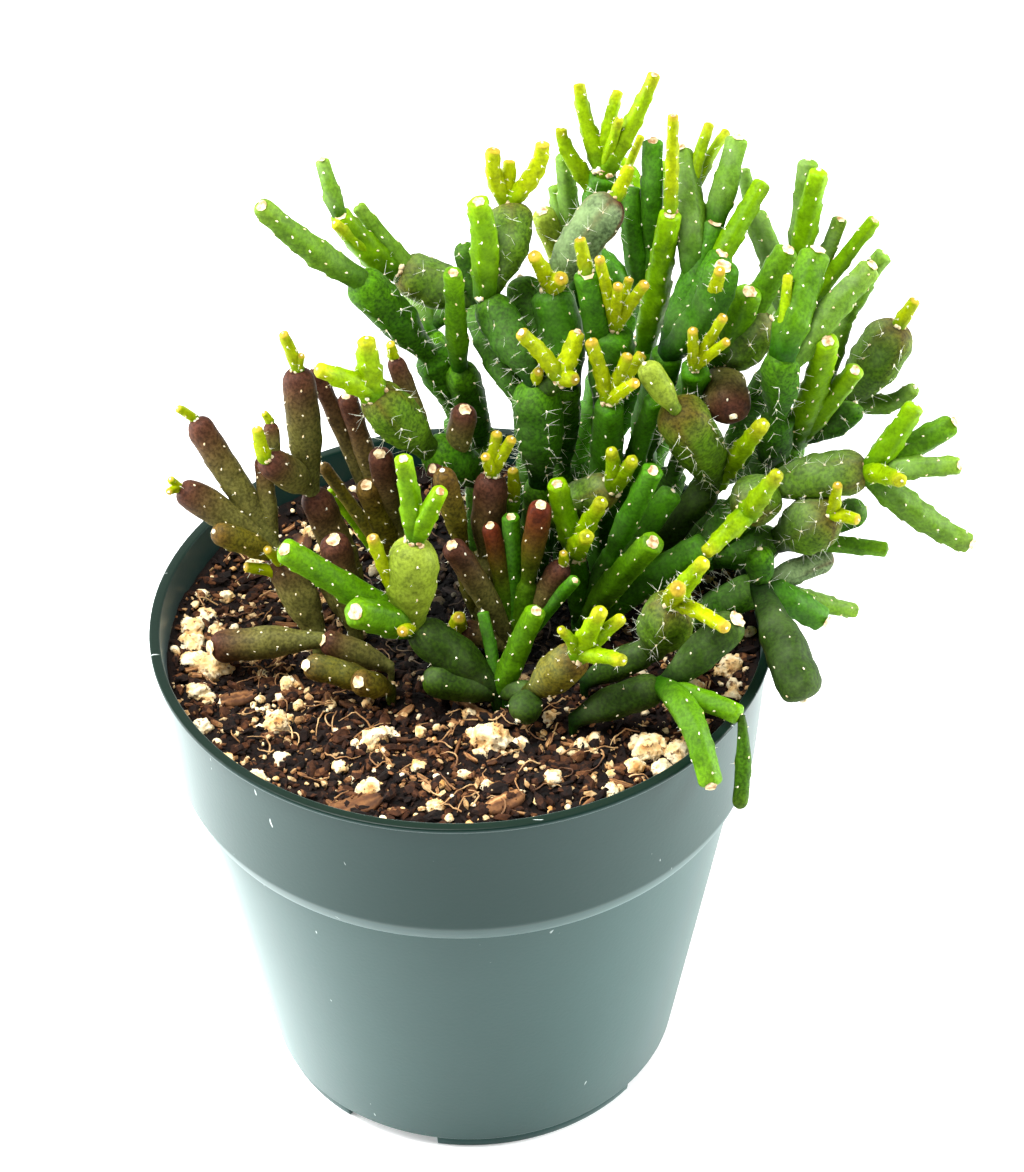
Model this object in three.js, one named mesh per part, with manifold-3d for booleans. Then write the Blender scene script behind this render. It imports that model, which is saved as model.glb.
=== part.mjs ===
// A potted dancing bones cactus: a bushy clump of jointed, bone-shaped stems in a plain nursery pot.
// Millimetres, +Z up, seen from the front along +Y. The stems lean out over the right and the back
// of the rim, so the middle of the whole part, which is its origin, isn't the middle of the pot.
import * as THREE from "three";
import { mergeVertices } from "three/addons/utils/BufferGeometryUtils.js";
import Module from "manifold-3d";

const wasm = await Module();
wasm.setup();

// The pot: a 4-inch round nursery pot with a straight collar, a tapered body and low feet
const POT_HEIGHT = 92;
const RIM_RADIUS = 52.5;
const COLLAR_HEIGHT = 29;
const COLLAR_CHAMFER = 4.5;
const COLLAR_FOOT_RADIUS = 49.8;
const BODY_TOP_RADIUS = 47;
const BODY_FOOT_RADIUS = 36;
const WALL = 1.1;
const LIP = 0.7;
const LIP_HEIGHT = 1.2;
const FEET_HEIGHT = 2.5;
const FOOT_COUNT = 4;
const FOOT_INSET = 0.9;
const FOOT_WIDTH = 4;
const FOOT_SPAN = THREE.MathUtils.degToRad(62);
const FIRST_FOOT = THREE.MathUtils.degToRad(-101);
const DRAIN_COUNT = 4;
const DRAIN_RADIUS = 3.2;
const FIRST_DRAIN = THREE.MathUtils.degToRad(-24);
const POT_SIDES = 34;

// The pot's axis, seen from the origin under the middle of the whole part
const POT_X = -17;
const POT_Y = -7;

// The soil: peat and bark with perlite, lower at the back, with a plain hole for each stem
const SOIL_MIDDLE = 85.3;
const SOIL_FALL_BACK = 0.055;
const SOIL_FALL_SIDE = 0.02;
const SOIL_EDGE = 81;
const SOIL_WAVES = 0.5;
const WAVE_ACROSS = 0.31;
const WAVE_BACK = 0.27;
const SOIL_RINGS = [40, 28, 15, 0];
const FIT_GAP = 0.35;
const SOIL_SIDES = 20;
const ROOT_RADIUS = 2.2;
const ROOT_SIDES = 5;
const ROOT_DEPTH = 9;
const ROOT_LIFT = 2.2;
const ROOT_CAP = 0.4;
const GRANULE_SPREAD = 1.15;
const GRANULE_FLATNESS = 0.85;
const GRANULE_LIFT = 0.2;

// Granules of perlite seated in the soil: right and back from the pot's axis, and radius
const perlite = [
  [4.5, -25.8, 3.1],
  [9.2, -26.3, 1.5],
  [0.8, -18.5, 1.3],
  [14.3, -19.2, 1.3],
  [19.3, -27.1, 1.4],
  [14.3, -35.7, 1.7],
  [23.8, -38.8, 1.6],
  [3.8, -36.7, 1.3],
  [-4.5, -42, 1.5],
  [-15.3, -37.3, 2.1],
  [-14.5, -24.5, 2.3],
  [-12.2, -22.4, 1.3],
  [-30.5, -19.5, 2.3],
  [-38.8, -28.9, 1.8],
  [-33.8, -33.9, 2],
  [-29.7, -28.4, 1.5],
  [-29, -9.8, 1.7],
  [-43, -19.8, 1.8],
  [-45.5, -2.3, 2.6],
  [-41.2, -3.6, 2.9],
  [-36.2, 0.3, 2.2],
  [-44.8, 10.5, 1.7],
  [-42.2, 6.3, 1.5],
  [30.3, -28.5, 2.9],
  [35, -29.5, 2.3],
  [32.2, -34, 2],
  [44.5, -14.5, 1.8],
  [-36, 24, 2],
  [-27, 34, 1.6],
  [-12, 38, 2.4],
  [-40, 14, 2.2],
  [10, 44.5, 1.8],
];

// Chips of bark that lie in the soil: right, back, length, width and turn in degrees
const bark = [
  [-17.5, -41, 9, 4, 20],
  [6.5, -41.5, 7, 3.5, 35],
  [1.5, -17, 9, 2.6, -38],
  [-37.5, -12, 6, 3, 15],
  [-30, 28, 10, 5, 60],
];
const BARK_THICK = 2;
const BARK_TILT = 0.2;
const BARK_LIFT = 0.15;

// The bones: a bone is slim where it starts, thickest past its middle and blunt at its tip. Its path
// leaves partly on the older bone's line, and its seat is inside the older bone.
const NECK = 0.5;
const TIP = 0.55;
const FULL_FROM = 0.55;
const CLOSING_FROM = 0.75;
const CLOSING = 0.12;
const PATH_PULL = 0.15;
const PATH_MIDDLE = 0.42;
const DEEPEST_SEAT = 0.6;
const THICK_BONE = 3;
const STOUT_BONE = 2.6;
const SLIM_BONE = 1.3;
const LONGEST_BONE = 30;
const SLIMMEST_LONG_BONE = 3.8;
const RINGS = { double: [0.1, 0.34, 0.5, 0.8], stout: [0.14, 0.5, 0.88], plain: [0.16, 0.8], slim: [0.5] };
const PATH_STEPS = 40;
const SPINE_LENGTH = 2.6;
const SPINE_WIDTH = 0.62;
const SPINE_LEAN = 0.5;
const SPINY_FROM = 0.35;
const SPINY_SPAN = 0.55;
const GOLDEN_ANGLE = THREE.MathUtils.degToRad(137.5);

// The axis that three.js draws a cone along
const UP = new THREE.Vector3(0, 1, 0);

const colours = {
  pot: 0x4d6b64,
  soil: 0x4a3226,
  dark: 0x3c6b28,
  olive: 0x5f7a3a,
  bright: 0x6fae22,
  maroon: 0x5a3b38,
};
const roughness = { pot: 0.55, soil: 0.95, stem: 0.45 };
const FIRST_STEM_SEED = 100;
const SOIL_SEED = 7;

// Growth plan. A stem has the place of its root in the pot, and then its bones. A bone has its name,
// the bone it grows from, where it ends (right, back and up from the middle of the pot's foot),
// how thick it is, and how far up the older bone it starts where that isn't the tip. The last
// numbers, if any, are the place that the bone bends towards on its way.
const ROOT = "root";
const plan = [
  // Left and front: old maroon stems, low over the soil
  ["stem_lying_left", "maroon", [-12, -8], [
    ["low", ROOT, [-23.5, -6, 92.5], 4.5],
    ["lying", "low", [-42, -5, 90.5], 5.7],
  ]],
  ["stem_front_left", "olive", [-12, -14], [
    ["facing", ROOT, [-17.5, -18, 93.5], 4.6],
    ["low", ROOT, [-26, -14, 94], 4.6],
  ]],
  ["stem_left_clump", "maroon", [-24, 0], [
    ["foot", ROOT, [-31, 6, 102.5], 6.4],
    ["bud_a", "foot", [-36, 2, 102], 2.2, 0.75],
    ["bud_b", "foot", [-32, 1, 106.5], 1.9, 0.78],
    ["long", "foot", [-43.4, 14, 124], 5],
    ["long_bud", "long", [-46, 13, 127], 1.7],
    ["left", "foot", [-46.4, 8, 114.3], 5.4],
    ["left_bud", "left", [-47.6, 7, 117], 1.6],
    ["left_bud_b", "left", [-47.8, 5, 115.8], 1.6],
    ["under", "foot", [-40.5, 1, 110.5], 4.3, 0.9],
    ["inner", "foot", [-32.5, 12, 117.5], 3.2],
  ]],
  ["stem_left_tall", "maroon", [-17, 9], [
    ["foot", ROOT, [-24.5, 10, 111.5], 5.7],
    ["tall", "foot", [-25.8, 13, 134.5], 5.8],
    ["tall_bud", "tall", [-27.8, 12, 142.5], 2.2],
    ["tall_bud_b", "tall", [-25, 12, 138], 1.6],
    ["side", "foot", [-31.5, 4, 123], 5.6],
    ["side_up", "side", [-30.5, 8, 127.5], 2.8, 0.8],
    ["side_bud", "side_up", [-31.5, 8, 129.5], 1.5],
    ["side_lime", "side", [-32.5, 4, 129.5], 2.4],
  ]],
  ["stem_left_short", "maroon", [-18, 1], [
    ["stub", ROOT, [-21, 2, 108], 5.3],
    ["stub_low", ROOT, [-25, 4, 102], 3.3],
  ]],
  ["stem_left_back", "maroon", [-9, 12], [
    ["olive", ROOT, [-15.5, 8, 114.5], 4.3],
    ["cut", ROOT, [-13, 8, 121], 4.4],
    ["slim", ROOT, [-23.6, 20, 129.5], 3.1],
    ["slim_b", ROOT, [-18.5, 18, 125.5], 3.6],
    ["brown", ROOT, [-23, 16, 112.5], 2.3],
    ["green", ROOT, [-22, 17, 106.5], 3],
  ]],

  // Front: the bright pair on its fat bone, and the low branches over the soil
  ["stem_front", "bright", [6, -16], [
    ["branch", ROOT, [-8, -12, 100], 7.4],
    ["long", "branch", [-28.5, -13, 118], 5.2],
    ["facing", "branch", [-17.5, -18, 108.5], 6.1],
    ["facing_bud", "branch", [-9.5, -18, 104], 2.4],
    ["fat", "branch", [-7, -10, 116.5], 8.4],
    ["pair_a", "fat", [-8.5, -9, 133], 3.8],
    ["pair_b", "fat", [-2.5, -12, 128.5], 3.5],
    ["side_bud", "branch", [-14, -11, 118.5], 2.6],
    ["under", ROOT, [-6.5, -17, 93], 5.9],
    ["slim", ROOT, [3.5, -9, 100.5], 2.3],
    ["bent", ROOT, [12.5, -14, 105], 4.4],
    ["crown", ROOT, [11.5, -20, 92.5], 3.9],
    ["stump", "crown", [9, -25, 90.5], 5.9],
    ["olive", "crown", [19, -23, 103], 6.9],
    ["fork_a", "olive", [22.5, -26, 114.5], 3.5],
    ["fork_b", "olive", [26, -25, 112], 2.9],
    ["fork_c", "olive", [16, -27, 111.5], 2.2],
    ["fork_d", "olive", [26, -31, 108], 2.9],
  ]],
  ["stem_front_right", "bright", [18, -23], [
    ["lying", ROOT, [32.5, -23, 95.5], 6.2],
    ["over_rim", "lying", [39.5, -42, 90.5], 4.8, 1, [37, -33, 101]],
    ["over_rim_b", "lying", [45, -30, 95], 4],
    ["hanging", "over_rim_b", [44.5, -38, 82], 2.8],
    ["up", "lying", [45, -18, 105.5], 6.5],
  ]],
  ["stem_front_fat", "olive", [20, -13], [
    ["low", ROOT, [31.5, -11, 93], 5.6],
    ["fat", "low", [34.5, -14, 106], 9.1],
    ["bud", "fat", [35, -21, 114.5], 3.5],
    ["chain", "fat", [39.5, -16, 116], 3.5],
    ["slim", "fat", [42.5, -27, 111], 2.6],
  ]],

  // Middle: maroon and green fingers, then the fat bones that carry the crown
  ["stem_middle_red", "maroon", [9, -4], [
    ["leaning", ROOT, [-1.5, -4, 111], 4.3],
    ["red", ROOT, [13.5, -2, 117.5], 4.1],
    ["budded", ROOT, [17, -3, 105.5], 4.3],
    ["bud", "budded", [17, -4, 108.5], 1.8],
    ["green", ROOT, [8.5, 0, 113.5], 3.6],
    ["short", ROOT, [5, -1, 112.5], 3.3],
    ["slim", ROOT, [19, -6, 104.5], 2.6],
    ["stump", ROOT, [-0.5, -3, 92], 4.3],
    ["stump_bud", "stump", [-0.5, -5, 96], 3],
  ]],
  ["stem_middle_maroon", "maroon", [3, 3], [
    ["tall", ROOT, [-2.5, 0, 123], 4.1],
    ["fat", ROOT, [5.5, 4, 119], 5.9],
    ["fork_a", "fat", [4.5, 1, 125], 2],
    ["fork_b", "fat", [6.5, 4, 127.5], 2.3],
    ["fork_c", "fat", [9, 3, 127], 2.3],
    ["green", ROOT, [9, 7, 111.5], 3.6],
    ["green_bud", "green", [9, 7, 117.5], 2.3],
  ]],
  ["stem_middle_green", "bright", [20, 3], [
    ["long", ROOT, [32, 0, 122.5], 4.2],
    ["thick", ROOT, [32, -5, 111.5], 5.1],
    ["dark", ROOT, [35.5, 8, 111.5], 5],
    ["foot", ROOT, [19, 1.5, 104.5], 4],
    ["fork_a", "foot", [16, 1, 119.5], 4.3],
    ["fork_b", "foot", [23.5, -3, 118.5], 3.3],
    ["fork_c", "foot", [21, -6, 113.5], 3.6],
    ["right", ROOT, [41, 2, 104.5], 6],
  ]],
  ["stem_middle_tall", "dark", [12, 12], [
    ["foot", ROOT, [13.5, 10, 113], 6],
    ["olive", "foot", [25.5, 5, 115], 6.9, 0.65],
    ["olive_fork_a", "olive", [25, 2, 125], 2.9],
    ["olive_fork_b", "olive", [28.5, 0, 124.5], 2.9],
    ["fat", "foot", [13, 11, 132.5], 8.8],
    ["fat_bud", "fat", [13.5, 9, 136], 2.3],
    ["knuckle", "fat", [17, 9, 134.5], 3.6, 0.85],
    ["knuckle_bud", "knuckle", [19.5, 6.5, 136], 2.8],
    ["pair_a", "knuckle", [10.5, 9, 144], 2.9],
    ["pair_b", "knuckle", [20, 13, 141], 3.2],
    ["upper", "fat", [5, 20, 143], 7.2],
    ["head", "upper", [9, 28, 156], 7.8, 1, [10, 24, 151.5]],
    ["head_fork_a", "head", [7, 29, 166], 2.8, 1, [6, 28.5, 161]],
    ["head_fork_b", "head", [9.5, 31, 162.5], 2.6],
    ["head_fork_c", "head", [14.8, 29, 167], 3, 1, [14.9, 28.5, 161.5]],
    ["upright", "upper", [4.2, 21, 161.7], 4.8, 1, [5.8, 20.5, 154.4]],
    ["back", "fat", [3.5, 27, 137], 5.2, 0.6, [5.3, 19.2, 132]],
    ["bump", "back", [1.7, 28, 148.4], 4.2, 0.9],
    ["across", "back", [-9.5, 28, 143], 8.2],
    ["broad", "across", [-18.5, 27, 155.5], 4.9, 1, [-15.3, 27.5, 147.8]],
    ["narrow", "across", [-19.2, 25, 155], 2.6],
    ["top", "broad", [-21, 31, 163.5], 3.2],
    ["light", "across", [-15.6, 31, 154.3], 3.3, 0.75],
  ]],
  ["stem_left_fat", "dark", [3, 13], [
    ["foot", ROOT, [3.5, 11, 112.5], 5],
    ["across", "foot", [-5, 8, 121.5], 8.2],
    ["fat", "across", [-13.5, 6, 135], 8.4],
    ["lime_left", "fat", [-22, 2, 142.5], 3.8],
    ["lime_up", "fat", [-14, 6, 145.5], 4.2],
    ["cut", "across", [1.5, 9, 129], 4.6, 0.5],
    ["bristly", "across", [-10, 13, 136.5], 3.3, 0.9],
    ["bristly_bud", "bristly", [-10.5, 12, 140], 1.9],
    ["maroon", "foot", [-4.5, 5, 119.5], 3.3],
  ]],
  ["stem_left_arm", "dark", [3, 24], [
    ["foot", ROOT, [4, 24, 113.5], 5.7],
    ["arm", "foot", [-15.5, 18, 149], 7.3],
    ["hand", "arm", [-30.4, 15, 165.6], 4.7, 1, [-24, 16.5, 156]],
    ["elbow", "foot", [0.5, 19, 130], 6.3, 0.8],
    ["upright", "elbow", [0, 15, 152], 3.9],
  ]],

  // Behind the middle: the high columns and the lime crown
  ["stem_back_left", "dark", [10, 34], [
    ["column", ROOT, [20, 36, 131], 6.1],
    ["blue_a", "column", [18.5, 40, 157.5], 3.9],
    ["blue_b", "column", [17, 43, 149.5], 3.3],
    ["olive", "column", [14.5, 38, 148], 4.3],
    ["crown", "column", [24.8, 35, 157], 5.6],
    ["crown_a", "crown", [18, 37, 164.5], 2.7, 0.85, [17.7, 36, 161]],
    ["crown_b", "crown", [21, 41, 170.5], 2.9, 1, [21.6, 38, 165]],
    ["crown_c", "crown", [27.5, 41, 169], 2.6, 1, [25.5, 38, 165]],
    ["crown_d", "crown", [27.5, 35, 167.5], 2.1],
    ["crown_e", "crown", [33.3, 38, 174], 3.1, 1, [30.3, 36.5, 165.9]],
    ["slim", "column", [31.5, 46, 157], 2],
  ]],
  ["stem_back_column", "dark", [22, 36], [
    ["foot", ROOT, [31.5, 26, 128.5], 6],
    ["column", "foot", [33, 37, 162], 4],
    ["side", "column", [29.4, 35, 154.2], 4, 0.2, [28.6, 30.5, 147.8]],
    ["bright", "foot", [35.5, 27, 154.5], 4.8],
    ["top", "bright", [36, 32, 170], 2.3],
  ]],
  ["stem_back_middle", "dark", [28, 28], [
    ["foot", ROOT, [35, 18, 133], 6.3],
    ["front", "foot", [43.6, 17, 151], 6.6, 1, [42, 15, 140.5]],
    ["front_bud", "front", [42.8, 12, 153.2], 2.4, 0.65],
    ["tall", "foot", [44, 25, 147.5], 4.9],
    ["left", "foot", [43, 30, 150], 5.4],
    ["back", "left", [37.3, 38, 159.2], 5.8, 0.6, [38.7, 31.4, 154]],
    ["blue", "left", [47, 38, 161.5], 4.6],
    ["lime_a", "back", [42.5, 40, 163], 2.5, 0.55],
    ["lime_b", "back", [45.5, 43, 159.5], 2.3, 0.55],
    ["bright", "tall", [51, 33, 156], 4, 0.5],
  ]],
  ["stem_crown_back", "dark", [17, 25], [
    ["foot", ROOT, [18, 17, 129], 5.9],
    ["fat", "foot", [16, 22, 143], 8.2],
    ["head", "fat", [26.6, 28, 156.8], 7.7],
    ["head_bud", "head", [29, 30, 161.5], 2.5],
    ["web", "foot", [10.8, 27.5, 141.8], 6.6, 0.9, [13, 22, 134]],
    ["lime_a", "fat", [13, 19, 152], 2.9],
    ["lime_b", "fat", [17.5, 18, 148], 3.2],
  ]],
  ["stem_crown", "dark", [24, 17], [
    ["foot", ROOT, [25, 16, 125], 5.6],
    ["fat", "foot", [26, 16, 139], 7.8],
    ["fork_a", "fat", [23.5, 15, 154], 2.2],
    ["fork_b", "fat", [26.5, 13, 150], 2.1],
    ["fork_c", "fat", [28.5, 17, 148.5], 1.9],
    ["fork_d", "fat", [31, 14, 149.5], 2.3],
    ["left", "foot", [21.5, 16, 150.5], 4.8],
    ["left_bud", "left", [20.5, 17, 156.5], 2.4],
    ["column", ROOT, [25, 9, 129.5], 5.9],
    ["fan_a", "column", [22, 9, 142], 2.7],
    ["fan_b", "column", [28, 9, 139], 2.4],
    ["fan_c", "column", [30.5, 12, 137], 2.4],
    ["fan_d", "column", [29, 2, 138.5], 2.2],
    ["right", ROOT, [32.5, 11, 128.5], 3.9],
  ]],

  // Right: the crowded stems that lean out over the rim
  ["stem_right_inner", "olive", [25, 10], [
    ["foot", ROOT, [42.5, 13, 109], 5.7],
    ["fat", "foot", [35.5, 4, 131.5], 9.1],
    ["tip", "fat", [30.5, 5, 140], 4.3],
    ["lime", "foot", [50, 5, 127.5], 3.6],
  ]],
  ["stem_right_middle", "olive", [31, 22], [
    ["foot", ROOT, [43, 20, 127], 5.6],
    ["green", "foot", [48.5, 21, 143], 5.9],
    ["pale", "foot", [55, 26, 147.5], 5.2],
    ["fat", "foot", [52, 21, 137], 7.8],
    ["facing", "foot", [45.2, 8.2, 126.6], 8],
    ["knuckle", "foot", [39, 12.5, 133.5], 5.5, 0.8],
    ["fork_a", "knuckle", [38.5, 10, 143], 2.1],
    ["fork_b", "knuckle", [43.5, 10, 145.5], 2.1],
    ["fork_c", "knuckle", [44, 8, 142], 1.9],
  ]],
  ["stem_right_back", "dark", [37, 27], [
    ["foot", ROOT, [56, 28, 126.5], 4.9],
    ["middle", "foot", [57, 31, 141], 4.6],
    ["behind", "middle", [50, 40, 145.2], 5.2, 0.3],
    ["behind_top", "behind", [48.4, 44, 151.3], 2.8],
    ["twin_a", "middle", [58.5, 36, 158], 4.3],
    ["twin_b", "middle", [60, 33, 158], 4.3],
    ["green", "foot", [64, 33, 148.5], 3.5],
    ["slim", "green", [69.5, 31, 149.5], 3, 0.3],
    ["low", "foot", [65.5, 24, 117.5], 5, 0.3],
    ["blue", "low", [71, 29, 144], 4, 0.8, [63.5, 27.5, 134.4]],
    ["oval", "low", [73.5, 24, 133], 9],
    ["oval_bud", "oval", [76, 24, 138], 2.5],
    ["low_green", "low", [76.5, 22, 121.5], 3.6, 1, [72.9, 23, 115.5]],
  ]],
  ["stem_right_tall", "dark", [38, 19], [
    ["foot", ROOT, [56.5, 16, 115.5], 6.7],
    ["fat", "foot", [53, 9, 138.5], 6.8, 0.8],
    ["broad", "fat", [59, 20, 151], 6.2],
    ["narrow", "fat", [54, 15, 150], 2.3],
    ["leaning", "fat", [68, 19, 148.5], 5.4, 0.9],
    ["bright_a", "foot", [60.5, 11, 140], 5.2],
    ["bright_b", "foot", [65.5, 12, 133], 4.2],
    ["dark", "foot", [66, 16, 123], 4.6, 1, [64.4, 14, 119.6]],
  ]],
  ["stem_right_fan", "olive", [34, 9], [
    ["foot", ROOT, [50.5, 9, 111], 6.7],
    ["arm", "foot", [67.5, 6, 116.5], 8],
    ["fan_a", "arm", [75, 8, 128.5], 4.4],
    ["fan_b", "arm", [82, 12, 121.5], 5],
    ["fan_c", "arm", [82.5, 3, 119.5], 4.1],
    ["fan_d", "arm", [72, -4, 122], 3.2],
    ["fan_e", "arm", [85, 3, 102.8], 5, 1, [76.2, 4.5, 106.8]],
    ["low", "foot", [53.5, 7, 101.5], 7, 0.4],
    ["fat", "low", [61.4, 1.5, 111.2], 9.4],
    ["fork_a", "fat", [62, 0, 118.5], 2.1],
    ["fork_b", "fat", [65.5, -2, 112.5], 2.3],
    ["stub", "low", [68, 10, 105.4], 5.4],
    ["green", "low", [71.5, 5, 100.5], 3.3],
    ["facing", "foot", [47.5, 0, 113], 9],
    ["lime_a", "facing", [52, -3, 123.5], 3.4],
    ["lime_b", "facing", [40, -7, 110], 3.3],
  ]],
  ["stem_right_front", "dark", [37, 2], [
    ["foot", ROOT, [49.5, -1, 98], 6.3],
    ["grey", "foot", [62.2, 6.8, 97.8], 4.4, 0.95],
    ["pad", "foot", [55.8, -22, 91], 8, 1, [53.3, -16.5, 96.7]],
    ["light", "foot", [66.5, 4, 88], 3.7, 1, [60, 1.5, 91.6]],
    ["dark", "foot", [60.5, -2, 91], 5.4],
    ["upright", "foot", [49.5, -1, 106], 5],
  ]],

  // The far side, hidden in front view: leaning stems that round the clump off
  ["stem_far_left", "dark", [2, 42], [
    ["foot", ROOT, [-5, 50, 115], 5.2],
    ["left", "foot", [-10, 60, 124], 4.5],
    ["right", "foot", [4.5, 57, 121.5], 5.2],
    ["tip", "right", [5, 61, 128], 3.1],
  ]],
  ["stem_far_middle", "dark", [18, 42], [
    ["foot", ROOT, [30, 50, 120.5], 5.9],
    ["left", "foot", [18, 56, 131.5], 5.9],
    ["right", "foot", [34.5, 60, 131.5], 5.2],
    ["tip_a", "right", [28.5, 66, 139], 3.1],
    ["tip_b", "right", [36.5, 66, 138.5], 3.1],
  ]],
  ["stem_far_right", "dark", [30, 33], [
    ["foot", ROOT, [47, 47, 114], 5.9, 1, [32, 35, 106]],
    ["left", "foot", [45, 55, 123.5], 5.5],
    ["right", "foot", [59, 52, 119.5], 5.2],
  ]],
];

// A closed solid from a three.js geometry, with its corners joined and its flat triangles dropped
function solid(geometry) {
  const bare = geometry.index ? geometry.toNonIndexed() : geometry.clone();
  bare.deleteAttribute("normal");
  bare.deleteAttribute("uv");
  const merged = mergeVertices(bare, 1e-4);
  const corners = merged.index.array;
  const kept = [];
  for (let i = 0; i < corners.length; i += 3) {
    const [a, b, c] = corners.slice(i, i + 3);
    if (a !== b && b !== c && c !== a) kept.push(a, b, c);
  }
  return new wasm.Manifold(new wasm.Mesh({
    numProp: 3,
    vertProperties: new Float32Array(merged.attributes.position.array),
    triVerts: new Uint32Array(kept),
  }));
}

// The named mesh of a solid, in its own colour
function nodeOf(name, made, colour, rough) {
  const data = made.getMesh();
  const geometry = new THREE.BufferGeometry();
  geometry.setAttribute("position", new THREE.BufferAttribute(data.vertProperties, 3));
  geometry.setIndex(new THREE.BufferAttribute(data.triVerts, 1));
  geometry.computeVertexNormals();
  const material = new THREE.MeshStandardMaterial({ color: colour, roughness: rough, metalness: 0 });
  const mesh = new THREE.Mesh(geometry, material);
  mesh.name = name;
  return mesh;
}

// A turned solid about the Z axis, from the radius and height of each point of its profile
function turned(profile, sides) {
  const points = profile.map(([radius, height]) => new THREE.Vector2(radius, height));
  return new THREE.LatheGeometry(points, sides).rotateX(Math.PI / 2);
}

// Seeded draws, so that the part is the same each time
function seeded(seed) {
  let state = seed;
  return () => {
    state = (state * 1664525 + 1013904223) % 4294967296;
    return state / 4294967296;
  };
}

// Radius of the pot's outer face at a height
const BODY_TOP = POT_HEIGHT - COLLAR_HEIGHT;
const COLLAR_FOOT = BODY_TOP + COLLAR_CHAMFER;
function potRadius(height) {
  if (height >= COLLAR_FOOT) {
    const up = (height - COLLAR_FOOT) / (POT_HEIGHT - COLLAR_FOOT);
    return THREE.MathUtils.lerp(COLLAR_FOOT_RADIUS, RIM_RADIUS - LIP, up);
  }
  if (height >= BODY_TOP) {
    const up = (height - BODY_TOP) / COLLAR_CHAMFER;
    return THREE.MathUtils.lerp(BODY_TOP_RADIUS, COLLAR_FOOT_RADIUS, Math.sqrt(up));
  }
  const up = (height - FEET_HEIGHT) / (BODY_TOP - FEET_HEIGHT);
  return THREE.MathUtils.lerp(BODY_FOOT_RADIUS, BODY_TOP_RADIUS, up);
}

function makePot() {
  const floorTop = FEET_HEIGHT + WALL;
  const lipFoot = POT_HEIGHT - LIP_HEIGHT;
  const outer = [BODY_TOP, BODY_TOP + COLLAR_CHAMFER / 3, COLLAR_FOOT, lipFoot];
  const inner = [COLLAR_FOOT, BODY_TOP, floorTop];
  const profile = [
    [0, FEET_HEIGHT],
    [BODY_FOOT_RADIUS, FEET_HEIGHT],
    ...outer.map((height) => [potRadius(height), height]),
    [RIM_RADIUS, lipFoot + LIP / 2],
    [RIM_RADIUS, POT_HEIGHT],
    [RIM_RADIUS - LIP - WALL, POT_HEIGHT],
    ...inner.map((height) => [potRadius(height) - WALL, height]),
    [0, floorTop],
  ];
  let pot = solid(turned(profile, POT_SIDES));

  // Feet: arcs of a low ring under the body's edge, with a gap between each two
  const footOuter = BODY_FOOT_RADIUS - FOOT_INSET;
  const footInner = footOuter - FOOT_WIDTH;
  for (let i = 0; i < FOOT_COUNT; i += 1) {
    const start = FIRST_FOOT + (i * 2 * Math.PI) / FOOT_COUNT;
    const shape = new THREE.Shape();
    shape.absarc(0, 0, footOuter, start, start + FOOT_SPAN, false);
    shape.absarc(0, 0, footInner, start + FOOT_SPAN, start, true);
    const foot = new THREE.ExtrudeGeometry(shape, {
      depth: FEET_HEIGHT + WALL / 2,
      bevelEnabled: false,
      curveSegments: 5,
    });
    pot = pot.add(solid(foot));
  }

  // Drain holes through the floor, inside the ring of feet
  for (let i = 0; i < DRAIN_COUNT; i += 1) {
    const turn = FIRST_DRAIN + (i * 2 * Math.PI) / DRAIN_COUNT;
    const away = footInner - DRAIN_RADIUS;
    const hole = new THREE.CylinderGeometry(DRAIN_RADIUS, DRAIN_RADIUS, 4 * WALL, 8);
    hole.rotateX(Math.PI / 2);
    hole.translate(away * Math.cos(turn), away * Math.sin(turn), FEET_HEIGHT + WALL / 2);
    pot = pot.subtract(solid(hole));
  }
  return pot;
}

// Height of the soil at a place in the pot, without its crumbs
function soilHeight(x, y) {
  return SOIL_MIDDLE - SOIL_FALL_BACK * y - SOIL_FALL_SIDE * Math.abs(x);
}

function rootTop([x, y]) {
  return new THREE.Vector3(x, y, soilHeight(x, y) + ROOT_LIFT);
}

// Each bone's path: it leaves on the older bone's line and turns to where it ends. Its seat is the
// point inside the older bone, or inside the root, that its slim neck grows out of.
const bones = [];
for (const [stem, , root, rows] of plan) {
  const grown = new Map();
  for (const [name, from, end, thick, start = 1, bend] of rows) {
    const older = grown.get(from);
    const begin = older ? older.curve.getPoint(start) : rootTop(root);
    const tip = new THREE.Vector3(...end);
    const length = tip.distanceTo(begin);
    const lead = older ? older.curve.getTangent(start) : new THREE.Vector3(0, 0, 1);
    const turn = tip.clone().sub(begin).normalize().lerp(lead, PATH_PULL).normalize();
    const eased = begin.clone().addScaledVector(turn, length * PATH_MIDDLE);
    const middle = bend ? new THREE.Vector3(...bend) : eased;
    const curve = new THREE.QuadraticBezierCurve3(begin, middle, tip);
    const depth = older ? Math.min(thick, older.length * DEEPEST_SEAT) : thick;
    const seat = older
      ? older.curve.getPoint(Math.max(0, start - depth / older.length))
      : begin.clone().addScaledVector(lead, -depth);
    const bone = { stem, name, curve, seat, radius: thick / 2, length };
    grown.set(name, bone);
    bones.push(bone);
  }
}

// A long, strong bone is grown as two
function jointsOf(radius, length) {
  return 2 * radius > SLIMMEST_LONG_BONE && length > LONGEST_BONE ? 2 : 1;
}

// Share of a bone's full radius along its length
function fullness(along, joints) {
  const t = (along * joints) % 1;
  const rise = THREE.MathUtils.smoothstep(t, 0, FULL_FROM);
  const close = 1 - CLOSING * THREE.MathUtils.smoothstep(t, CLOSING_FROM, 1);
  return along >= 1 ? TIP : (NECK + (1 - NECK) * rise) * close;
}

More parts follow.
